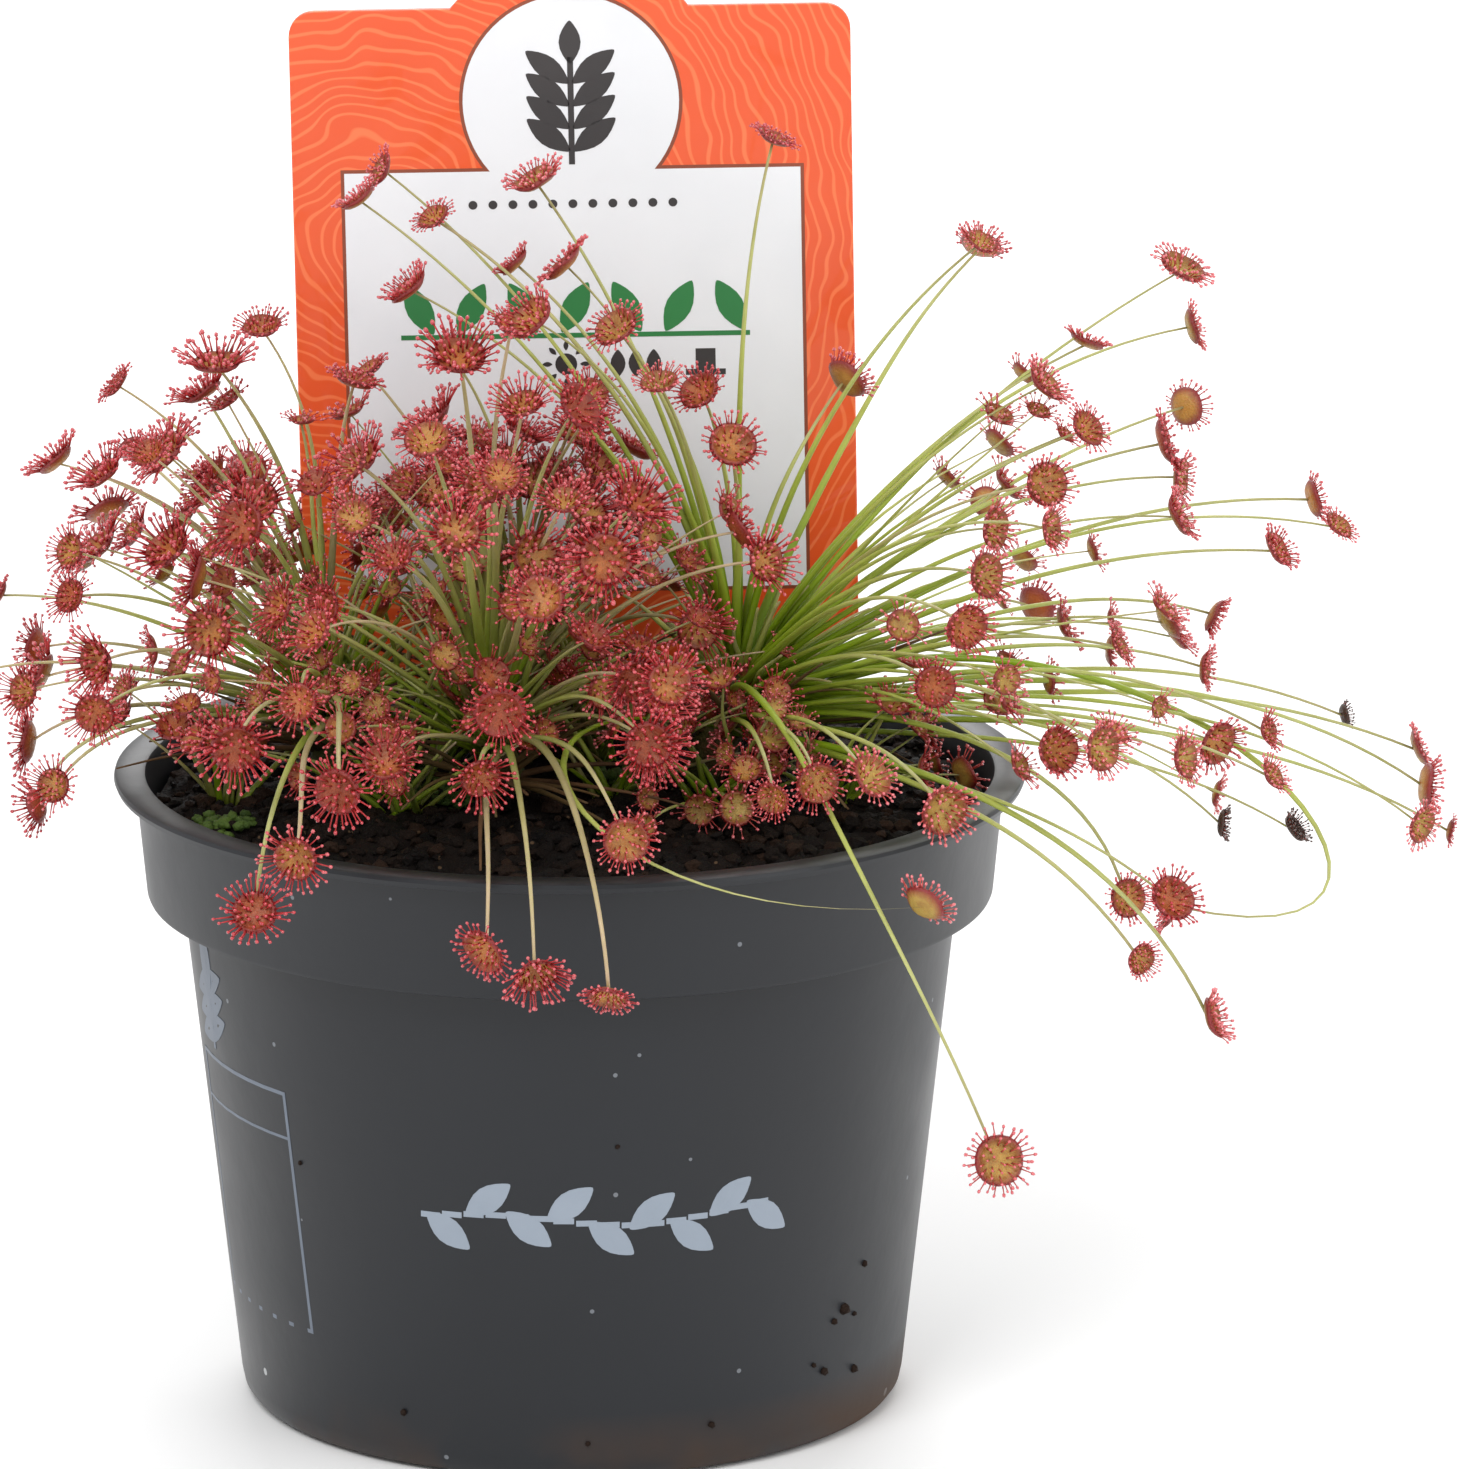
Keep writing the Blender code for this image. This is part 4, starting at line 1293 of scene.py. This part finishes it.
petiole = petiole_model("petiole", 8, 26)
short_petiole = petiole_model("short_petiole", 6, 12)
print("faces on a petiole:", len(petiole.data.polygons), "or", len(short_petiole.data.polygons))

# %% [markdown]
# No two leaves are alike. Each gets a thickness and a shade of its own, greener in the right
# rosette. Three dried traps hang there, and one trap hangs low with its face to the front.

# %% Shade of each leaf
DEAD_TIPS = ((77, 14, 65), (63, -24, 64), (71, -8, 59))
DEAD_REACH = 3.0
HANGING_LEAF = 2
HANGING_AXIS = np.array([0.25, -0.85, 0.2])
HANGING_SIZE = 1.12
PALE_RIGHT, PALE_OTHERS = 0.12, 0.62

rng = random.Random(31)
for name, leaves in grown.items():
    pale = PALE_RIGHT if name == "rosette_right" else PALE_OTHERS
    for leaf in leaves:
        tip = leaf["curve"][3] / MM
        leaf["dead"] = min(math.dist(tip, dead) for dead in DEAD_TIPS) < DEAD_REACH
        leaf["stout"] = rng.uniform(0.82, 1.12)
        leaf["tint"] = min(1.0, max(0.0, rng.gauss(pale, 0.24)))
grown["rosette_right"][HANGING_LEAF].update(axis=HANGING_AXIS, size=HANGING_SIZE)
print("dried traps:", sum(leaf["dead"] for leaves in grown.values() for leaf in leaves))

# %% Petioles of the rosettes
PETIOLE_COLOURS = (
    (0.0, colour(104, 134, 12)),
    (0.22, colour(132, 158, 28)),
    (0.5, colour(168, 176, 84)),
    (0.8, colour(178, 178, 120)),
    (1.0, colour(150, 138, 100)),
)


def petiole_finish():
    made, tree, shader = finish(
        "petiole", 0.42, Specular_IOR_Level=0.3, Subsurface_Weight=0.25, Subsurface_Scale=0.0015
    )
    shader.inputs["Subsurface Radius"].default_value = (0.6, 0.8, 0.2)
    along = attribute(tree, "along")
    ramp = add(tree, "ShaderNodeValToRGB")
    while len(ramp.color_ramp.elements) < len(PETIOLE_COLOURS):
        ramp.color_ramp.elements.new(0.5)
    for element, (spot, value) in zip(ramp.color_ramp.elements, PETIOLE_COLOURS):
        element.position = spot
        element.color = value
    tree.links.new(along, ramp.inputs["Fac"])
    mottle = use(tree, MOTTLING, Scale=220.0)
    pinkish = blend(tree, along, colour(104, 104, 44), colour(200, 172, 146))
    share = span(tree, attribute(tree, "tint"), 0.35, 0.85, 0.0, 0.85)
    base = blend(tree, share, ramp.outputs["Color"], pinkish)
    darker = calc(tree, "MULTIPLY", span(tree, mottle["Patches"], 0.45, 0.75), 0.35)
    base = blend(tree, darker, base, colour(120, 118, 52))
    rough = span(tree, mottle["Grain"], 0.3, 0.7, 0.3, 0.46)
    paint(tree, shader, base, rough, mottle["Grain"], 0.05 * MM)
    return made


PETIOLE_FINISH = petiole_finish()
for name, leaves in grown.items():
    copies = [laid_along(petiole, leaf, rng) for leaf in leaves]
    tints = [leaf["tint"] for leaf in leaves]
    piece = assemble(name + "_petioles", petiole, copies, tints, [PETIOLE_FINISH])
    finish_piece(piece, name)

# %% [markdown]
# ## Traps
# A sundew's trap is a small round dish. Long tentacles stand out from its rim and shorter
# ones from its face, and each carries a drop of clear sticky gel that shines red. Hair
# particles could grow them, but they can't be exported, so one dish, one tentacle and one
# drop are modelled, six kinds of traps are put together from them, and each leaf gets a copy
# of one kind.

# %% Dish
DISH_CORNERS = 18
DISH_MIDDLE = 0.4
DISH_RADIUS = 2.12
# The dish's rings from the middle outwards: radius, and rise above the ring before, in millimetres.
DISH_RINGS = ((0.95, 0.05), (1.5, 0.16), (1.92, 0.28), (DISH_RADIUS, 0.22))


def dish_model():
    """The open dish, drawn out ring by ring from a poked disc, thickened and made wavy."""
    piece = flat_disc("dish", DISH_CORNERS, DISH_MIDDLE * MM)
    edit(piece)
    bpy.ops.mesh.poke()
    bpy.ops.mesh.select_mode(type="EDGE")
    bpy.ops.mesh.select_all(action="DESELECT")
    bpy.ops.mesh.select_non_manifold()
    radius = DISH_MIDDLE
    for reach, rise in DISH_RINGS:
        draw_out((0.0, 0.0, rise * MM), (0.0, 0.0, 0.0), reach / radius)
        radius = reach
    close()
    outward(piece)
    modify(piece, "SOLIDIFY", thickness=0.42 * MM, offset=0.0, use_even_offset=False)
    for vertex in piece.data.vertices:
        angle = math.atan2(vertex.co.y, vertex.co.x)
        reach = math.hypot(vertex.co.x, vertex.co.y) / (DISH_RADIUS * MM)
        vertex.co.z += reach * reach * 0.12 * MM * math.sin(3.0 * angle + 0.6)
    edge = (DISH_RADIUS + 0.02) * MM
    mark(piece.data, "along", [math.hypot(v.co.x, v.co.y) / edge for v in piece.data.vertices])
    return piece


# %% Tentacle and drop
def tentacle_model():
    """A thin stalk, one millimetre long, that bends outwards."""
    piece = flat_disc("tentacle", 3, 0.085 * MM)
    edit(piece)
    for across, rise, height, grow in ((0.05, 0.45, 0.45, 0.7), (0.13, 0.5, 0.95, 0.75)):
        draw_out((across * MM, 0.0, rise * MM), (0.0, 0.0, height * MM), grow)
    close()
    outward(piece)
    mark(piece.data, "along", [v.co.z / MM for v in piece.data.vertices])
    return piece


def drop_model(name, plain):
    """A drop with 20 faces, or a plain one with 12 for the smallest traps."""
    deselect()
    if plain:
        bpy.ops.mesh.primitive_cube_add(size=0.22 * MM)
    else:
        bpy.ops.mesh.primitive_ico_sphere_add(subdivisions=1, radius=0.15 * MM)
    piece = named(name)
    edit(piece)
    bpy.ops.transform.resize(value=(1.0, 1.0, 1.3), center_override=(0.0, 0.0, 0.0))
    close()
    mark(piece.data, "along", np.ones(len(piece.data.vertices)))
    return piece


# %% Trap
# The tentacles' rings from the rim inwards: how many, radius and height in millimetres, lean
# in degrees, and length in millimetres, as a fixed part and a part that grows with the fringe.
TENTACLE_RINGS = (
    (24, 1.98, 0.6, 72.0, 0.0, 1.15),
    (17, 1.72, 0.44, 46.0, 0.0, 1.15),
    (12, 1.25, 0.25, 26.0, 1.0, 0.2),
    (7, 0.75, 0.12, 14.0, 0.9, 0.1),
    (2, 0.3, 0.08, 8.0, 0.8, 0.0),
)
TENTACLE_TIP = Matrix.Translation((0.16 * MM, 0.0, 1.0 * MM))


def trap_model(name, models, looks, rng, closed, fringe, crowd=1.0):
    """A dish with rings of tentacles.

    closed folds them in, from 0 to 1, fringe is how long the outer ones are, and crowd is
    the share of them that the trap has.
    """
    stout = 0.75 + 0.45 * fringe
    dish, stalk, drop = models
    stalks = []
    for count, radius, lift, lean, fixed, growing in TENTACLE_RINGS:
        count = round(count * crowd)
        for step in range(count):
            turn = FULL_TURN * (step + rng.uniform(-0.3, 0.3)) / count
            fall = math.radians(lean * (1.0 - 0.75 * closed) + rng.uniform(-14.0, 14.0))
            size = (fixed + growing * fringe) * rng.uniform(0.72, 1.08)
            base = Matrix.Rotation(turn, 4, "Z") @ Matrix.Translation((radius * MM, 0.0, lift * MM))
            shape = Matrix.Diagonal((stout, stout, size, 1))
            stalks.append(base @ Matrix.Rotation(fall, 4, "Y") @ shape)
    drops = []
    for place in stalks:
        spot, turn, _ = (place @ TENTACLE_TIP).decompose()
        size = Vector((1, 1, 1)) * stout * rng.uniform(0.7, 1.0)
        drops.append(Matrix.LocRotScale(spot, turn, size))
    parts = [
        assemble(name + "_dish", dish, moved(dish, [Matrix.Identity(4)]), [0.0], looks[:1]),
        assemble(name + "_stalks", stalk, moved(stalk, stalks), [0.0] * len(stalks), looks[1:2]),
        assemble(name + "_drops", drop, moved(drop, drops), [0.0] * len(drops), looks[2:]),
    ]
    return join(name, parts)


# %% [markdown]
# The dish is amber or olive in the middle and red at the rim. Tentacles are crimson, and the
# drops are glossy under a clear coat. Each copy's `tint` shifts its colours, from young and
# pale at 0 to deep red at 1, and at 2 the trap is dead and brown.

# %% Trap finishes
def browned(tree, tint, base, dead):
    """The colour base, or the colour dead where the trap has died."""
    return blend(tree, span(tree, tint, 1.4, 1.6), base, dead)


def dish_finish():
    made, tree, shader = finish("trap_dish", 0.4, Subsurface_Weight=0.2, Subsurface_Scale=0.001)
    tint = attribute(tree, "tint")
    mottle = use(tree, MOTTLING, Scale=500.0)
    face = blend(tree, span(tree, tint, 0.15, 0.8), colour(184, 152, 72), colour(190, 108, 50))
    face = blend(tree, span(tree, tint, 0.7, 1.0, 0.0, 0.8), face, colour(146, 48, 36))
    spots = span(tree, mottle["Patches"], 0.48, 0.68, 0.0, 0.6)
    spotted = blend(tree, spots, face, colour(118, 50, 28))
    rim = span(tree, attribute(tree, "along"), 0.62, 1.0)
    base = browned(tree, tint, blend(tree, rim, spotted, colour(134, 36, 36)), colour(62, 40, 28))
    rough = span(tree, mottle["Grain"], 0.3, 0.7, 0.3, 0.5)
    paint(tree, shader, base, rough, mottle["Grain"], 0.12 * MM)
    return made


def tentacle_finish():
    made, tree, shader = finish("tentacle", 0.35, Subsurface_Weight=0.2, Subsurface_Scale=0.0006)
    tint = attribute(tree, "tint")
    base = blend(tree, attribute(tree, "along"), colour(138, 32, 30), colour(194, 50, 58))
    base = blend(tree, span(tree, tint, 0.0, 0.45, 0.5, 0.0), base, colour(216, 112, 104))
    paint(tree, shader, browned(tree, tint, base, colour(60, 34, 26)))
    return made


def drop_finish():
    made, tree, shader = finish("sticky_drop", 0.08, Coat_Weight=1.0, Coat_Roughness=0.03, IOR=1.4)
    tint = attribute(tree, "tint")
    base = blend(tree, span(tree, tint, 0.0, 1.0), colour(226, 116, 122), colour(186, 42, 54))
    paint(tree, shader, browned(tree, tint, base, colour(70, 40, 30)))
    return made


# %% Six kinds of traps
looks = [dish_finish(), tentacle_finish(), drop_finish()]
models = (dish_model(), tentacle_model(), drop_model("drop", False))
young_models = (models[0], models[1], drop_model("plain_drop", True))
OPEN, CUPPED, FOLDED, BRISTLY, FULL, YOUNG = range(6)
rng = random.Random(47)
kinds = [
    trap_model("trap_open", models, looks, rng, 0.0, 1.05),
    trap_model("trap_cupped", models, looks, rng, 0.35, 1.15),
    trap_model("trap_folded", models, looks, rng, 0.75, 1.2),
    trap_model("trap_bristly", models, looks, rng, 0.1, 1.6),
    trap_model("trap_full", models, looks, rng, 0.4, 1.9),
    trap_model("trap_young", young_models, looks, rng, 0.25, 1.7, 0.55),
]
print("tentacles on a trap:", sum(ring[0] for ring in TENTACLE_RINGS))

# %% [markdown]
# The solid's traps are plain cups, and the tentacles of the detailed ones reach a little
# further. At the two ends of the plant the traps are therefore smaller, so that the whole
# stays within the solids' outline. Neighbours are turned by the golden angle, which never
# lines two of them up.

# %% Traps on their leaves
GOLDEN_TURN = 2.39996
LEFT_END, RIGHT_END = -55.0, 84.0
USUAL_SIZE = 0.97
END_SIZE = 0.69
DEAD_SIZE = 0.62
DEAD_TINT = 2.0


def put_traps(name, leaves, choices, redness):
    """One of the traps in choices on each leaf, all in one piece."""
    groups = [([], []) for _ in kinds]
    for number, leaf in enumerate(leaves):
        which = FOLDED if leaf["dead"] else rng.choice(choices)
        reach = leaf["curve"][3][0] / MM
        usual = END_SIZE if reach < LEFT_END or reach > RIGHT_END else USUAL_SIZE
        size = leaf["size"] * (DEAD_SIZE if leaf["dead"] else usual)
        facing = Vector(leaf["axis"]).to_track_quat("Z", "Y").to_matrix().to_4x4()
        place = Matrix.Translation(Vector(leaf["curve"][3])) @ facing
        place = place @ Matrix.Rotation(GOLDEN_TURN * number, 4, "Z") @ Matrix.Scale(size, 4)
        groups[which][0].append(place)
        groups[which][1].append(DEAD_TINT if leaf["dead"] else rng.uniform(*redness))
    made = []
    for kind, (places, tints) in zip(kinds, groups):
        if places:
            made.append(assemble(name + "_part", kind, moved(kind, places), tints, looks))
    finish_piece(join(name, made), None)


for name, leaves in grown.items():
    if name == "rosette_right":
        put_traps(name + "_traps", leaves, (OPEN, OPEN, CUPPED, CUPPED, FOLDED), (0.0, 0.85))
    else:
        put_traps(name + "_traps", leaves, (OPEN, CUPPED, BRISTLY, BRISTLY, FULL, FULL), (0.4, 1.0))

# %% [markdown]
# ## Crowns
# The petioles grow from a short stem with the stubs of old leaves on it. It is a disc drawn
# out in twelve steps, first straight up to the peat's surface and then over to the crown,
# swelling on the way. Every second step is a little wider, as stubs are.

# %% Stems
STEM_CORNERS = 16
STEM_FOOT = 50.0 * MM
STEM_GROUND = 61.0 * MM
STEM_START = 1.7
STEM_STEPS = 12
BURIED_SHARE = 0.4


def stem_finish():
    made, tree, shader = finish("stem", 0.7)
    mottle = use(tree, MOTTLING, Scale=300.0)
    patches = span(tree, mottle["Patches"], 0.35, 0.65)
    base = blend(tree, patches, colour(62, 78, 22), colour(96, 74, 38))
    paint(tree, shader, base, grain=mottle["Grain"], depth=0.3 * MM)
    return made


def stem_model(name, foot, ground, crown):
    """A stem that rises from foot through ground to crown."""
    stem = flat_disc(name, STEM_CORNERS, STEM_START * MM, foot)
    edit(stem)
    here, size = foot, STEM_START
    for step in range(STEM_STEPS):
        share = (step + 1) / STEM_STEPS
        if share < BURIED_SHARE:
            there = foot.lerp(ground, share / BURIED_SHARE)
        else:
            there = ground.lerp(crown, (share - BURIED_SHARE) / (1.0 - BURIED_SHARE))
        swell = 1.75 + 0.7 * math.sin(min(1.0, share * 1.15) * math.pi) + (0.16 if step % 2 else 0.0)
        if share < 0.45:
            swell = min(swell, 2.0)
        elif step == STEM_STEPS - 1:
            swell *= 0.45
        draw_out(tuple(there - here), tuple(there), swell / size)
        here, size = there, swell
    close()
    outward(stem)
    smooth(stem, 60.0)
    return stem


STEM_FINISH = stem_finish()
for name, rosette in ROSETTES.items():
    x, y = (v * MM for v in rosette["foot"])
    foot, ground = Vector((x, y, STEM_FOOT)), Vector((x, y, STEM_GROUND))
    stem = stem_model(name + "_stem", foot, ground, Vector(rosette["crown"]) * MM)
    dress(stem, STEM_FINISH)
    finish_piece(stem, None)

# %% [markdown]
# Young leaves without traps crowd round each crown, some upright and some leaning far out.
# They are copies of the short petiole on curves of their own.

# %% Young leaves
YOUNG_COUNT = 30


def blade(foot, lean, turn, length, bow):
    """A short leaf's curve from foot, leaning out towards the compass angle turn."""
    start = np.array(foot)
    rise = direction(turn, math.radians(90.0 - lean))
    fall = direction(turn, math.radians(90.0 - lean - bow))
    end = start + (rise + fall) * length * 0.5
    return {"curve": (start, start + rise * length * 0.4, end - fall * length * 0.3, end)}


def shoots(name, spots, count, lengths, lean, stout, look):
    """Short leaves scattered round each spot, all in one piece."""
    copies, tints = [], []
    for x, y, z, spread in spots:
        for number in range(count):
            foot_x, foot_y, turn = scattered(x, y, spread, rng)
            tilt, length, bow = rng.uniform(*lean), rng.uniform(*lengths), rng.uniform(10.0, 40.0)
            leaf = blade((foot_x, foot_y, z), tilt, turn, length, bow)
            leaf["stout"] = stout * rng.uniform(0.8, 1.2)
            copies.append(laid_along(short_petiole, leaf, rng))
            tints.append(rng.uniform(0.0, 0.35))
    finish_piece(assemble(name, short_petiole, copies, tints, [look]), None)


def round_crowns(below, spread):
    """A spot a little below each crown, with its spread."""
    crowns = [[v * MM for v in rosette["crown"]] for rosette in ROSETTES.values()]
    return [(x, y, z - below, spread) for x, y, z in crowns]


spots = round_crowns(3.5 * MM, 1.2 * MM)
shoots("young_leaves", spots, YOUNG_COUNT, (7 * MM, 20 * MM), (4.0, 62.0), 0.9, PETIOLE_FINISH)

# %% [markdown]
# ## Crowded tufts
# Between the long leaves, an old pot of sundews is crowded with half-grown leaves and small
# seedlings. Placing them by hand would take days, so a table says where they grow, and a
# seeded rule draws each leaf and drops those that would run into the pot or the label.

# %% Tufts
# A tuft's place and spread on the ground, how many leaves it has, how long they are, which
# way they point and how far they lean (millimetres and degrees).
TUFTS = {
    "tufts_left": (
        (-24, 3, 68, 2.0, 30, (16, 37), (0, 360), (6, 66)),
        (-15, 6, 60.7, 2.5, 24, (18, 40), (0, 360), (6, 48)),
        (-16, -9, 60.6, 2.0, 20, (12, 25), (150, 390), (8, 60)),
        (-34, -3, 60.0, 1.5, 10, (9, 17), (0, 360), (8, 55)),
    ),
    "tufts_middle": (
        (-8, -6, 67, 2.0, 32, (16, 36), (0, 360), (6, 66)),
        (-5, 12, 68, 2.0, 26, (18, 38), (0, 360), (4, 46)),
        (4, -3, 60.9, 2.0, 15, (11, 22), (150, 390), (8, 60)),
        (3, 8, 60.8, 2.0, 22, (16, 34), (90, 300), (6, 46)),
    ),
    "tufts_right": (
        (17, 2, 70, 1.5, 26, (30, 52), (-70, 70), (34, 80)),
        (14, -6, 60.8, 2.5, 18, (9, 18), (180, 360), (14, 64)),
        (26, -4, 60.3, 2.0, 14, (9, 17), (180, 400), (14, 62)),
    ),
}
# How pale the petioles of each group are, and how red its traps.
TUFT_SHADES = {
    "tufts_left": ((0.1, 0.9), (0.15, 0.95)),
    "tufts_middle": ((0.1, 0.9), (0.15, 0.95)),
    "tufts_right": ((0.0, 0.5), (0.0, 0.5)),
}


def tuft_leaves(rows):
    """Leaf curves for the rows of one group, without those that would run into something."""
    leaves = []
    for x, y, z, spread, count, lengths, sector, lean in rows:
        for number in range(count):
            foot_x, foot_y, _ = scattered(x, y, spread, rng)
            heading = math.radians(rng.uniform(*sector))
            length = rng.uniform(*lengths) * MM
            tilt, bow = rng.uniform(*lean), rng.uniform(8.0, 44.0)
            leaf = blade((foot_x * MM, foot_y * MM, z * MM), tilt, heading, length, bow)
            leaf["end"] = unit(leaf["curve"][3] - leaf["curve"][2])
            leaf["size"] = rng.uniform(0.5, 0.85)
            leaf["axis"] = trap_axis(leaf, rng)
            leaf["stout"] = rng.uniform(0.6, 0.85)
            leaf["dead"] = False
            outer = bezier(leaf["curve"], np.linspace(0.0, 1.0, 30))[11:]
            if clear_of_holder(outer, 0.4 * MM):
                leaves.append(leaf)
    return leaves


for name, rows in TUFTS.items():
    small = tuft_leaves(rows)
    print(name, len(small), "leaves")
    pale, redness = TUFT_SHADES[name]
    copies = [laid_along(short_petiole, leaf, rng) for leaf in small]
    tints = [rng.uniform(*pale) for _ in small]
    stalks = assemble(name + "_petioles", short_petiole, copies, tints, [PETIOLE_FINISH])
    finish_piece(stalks, None)
    put_traps(name + "_traps", small, (YOUNG,), redness)

# %% [markdown]
# The oldest leaves have dried to brown and lie low round each crown. The same rule as for
# the young leaves makes them, leaning further out.

# %% Old leaves
OLD_COUNT = 26


def old_leaf_finish():
    made, tree, shader = finish("old_leaf", 0.75)
    mottle = use(tree, MOTTLING, Scale=260.0)
    base = blend(tree, mottle["Patches"], colour(58, 36, 22), colour(120, 84, 48))
    base = blend(tree, attribute(tree, "tint"), base, colour(92, 92, 36))
    paint(tree, shader, base, grain=mottle["Grain"], depth=0.1 * MM)
    return made


spots = round_crowns(6.5 * MM, 1.6 * MM)
shoots("old_leaves", spots, OLD_COUNT, (12 * MM, 24 * MM), (48.0, 84.0), 0.8, old_leaf_finish())

# %% [markdown]
# ## Crumbs on the pot, and moss
# Handling leaves a few crumbs of damp peat on the pot's wall, and moss grows on the peat near
# the plants. Both are copies of the peat's crumb: a dozen placed one by one on the cone of
# the pot, and a few hundred green ones heaped in patches.

# %% Clinging crumbs
# Each crumb's place on the pot's front (x, z) and its size, in millimetres.
CLINGING = (
    (27, 14, 0.7), (26, 13, 0.4), (28, 13, 0.3), (25, 8, 0.5), (24, 9, 0.3), (28, 7, 0.5),
    (29, 18, 0.4), (-16, 6, 0.4), (2, 4, 0.3), (14, 5, 0.4), (-26, 30, 0.3), (5, 35, 0.3),
)
CLINGING_TINT = 0.8

places = []
for x, z, size in CLINGING:
    share = (z * MM - RECESS) / (BAND_FOOT - RECESS)
    radius = BASE_RADIUS + (BODY_RADIUS - BASE_RADIUS) * share
    y = -math.sqrt(radius**2 - (x * MM) ** 2)
    turn = Matrix.Rotation(rng.uniform(0.0, FULL_TURN), 4, "Z")
    places.append(Matrix.Translation((x * MM, y, z * MM)) @ turn @ Matrix.Scale(size * MM, 4))
tints = [CLINGING_TINT] * len(places)
cling = assemble("clinging_crumbs", crumb, moved(crumb, places), tints, [PEAT_FINISH])
finish_piece(cling, None)

# %% Moss
# Each patch's middle and spread in millimetres, and how many crumbs it has.
MOSS_PATCHES = ((-34, -13, 3.5, 90), (-19, 0, 6.0, 90), (-12, -4, 4.0, 60), (6, 2, 4.0, 40))

places = []
for x, y, spread, count in MOSS_PATCHES:
    for number in range(count):
        spot_x, spot_y, _ = scattered(x, y, spread, rng)
        place = lie(spot_x * MM, spot_y * MM, rng.uniform(0.4, 0.8) * MM, rng)
        places.append(Matrix.Translation((0.0, 0.0, rng.uniform(0.0, 0.8) * MM)) @ place)
moss_green = two_tone("moss", 0.7, 500.0, colour(34, 62, 12), colour(92, 118, 34), 0.2 * MM)
moss = assemble("moss", crumb, moved(crumb, places), [0.0] * len(places), [moss_green])
finish_piece(moss, None)

# %% [markdown]
# ## Floor and sizes
# The models that were only copied from are taken away. The floor is a plain pale sheet, and
# the sizes of the CAD model and of this one are written side by side.

# %% Floor
FLOOR_RADIUS = 2.5
FLOOR_BORDER = 1.2
FLOOR_HEIGHT = -0.05 * MM

remove(crumb, petiole, short_petiole, *models, young_models[2], *kinds)
floor = flat_disc("floor", 64, FLOOR_RADIUS, (0.0, 0.0, FLOOR_HEIGHT))
edit(floor)
bpy.ops.mesh.inset(thickness=FLOOR_BORDER)
close()
dress(floor, two_tone("floor_paper", 0.7, 3.0, (0.94, 0.94, 0.94, 1.0), (0.97, 0.97, 0.97, 1.0)))
floor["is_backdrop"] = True

# %% Sizes
deselect()
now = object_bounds()
sizes = {
    "cad": [list(cad_box[0]), list(cad_box[1])],
    "visual": [list(now[0]), list(now[1])],
}
for key, (low, high) in sizes.items():
    print(key, [round(v / MM, 1) for v in low], [round(v / MM, 1) for v in high])
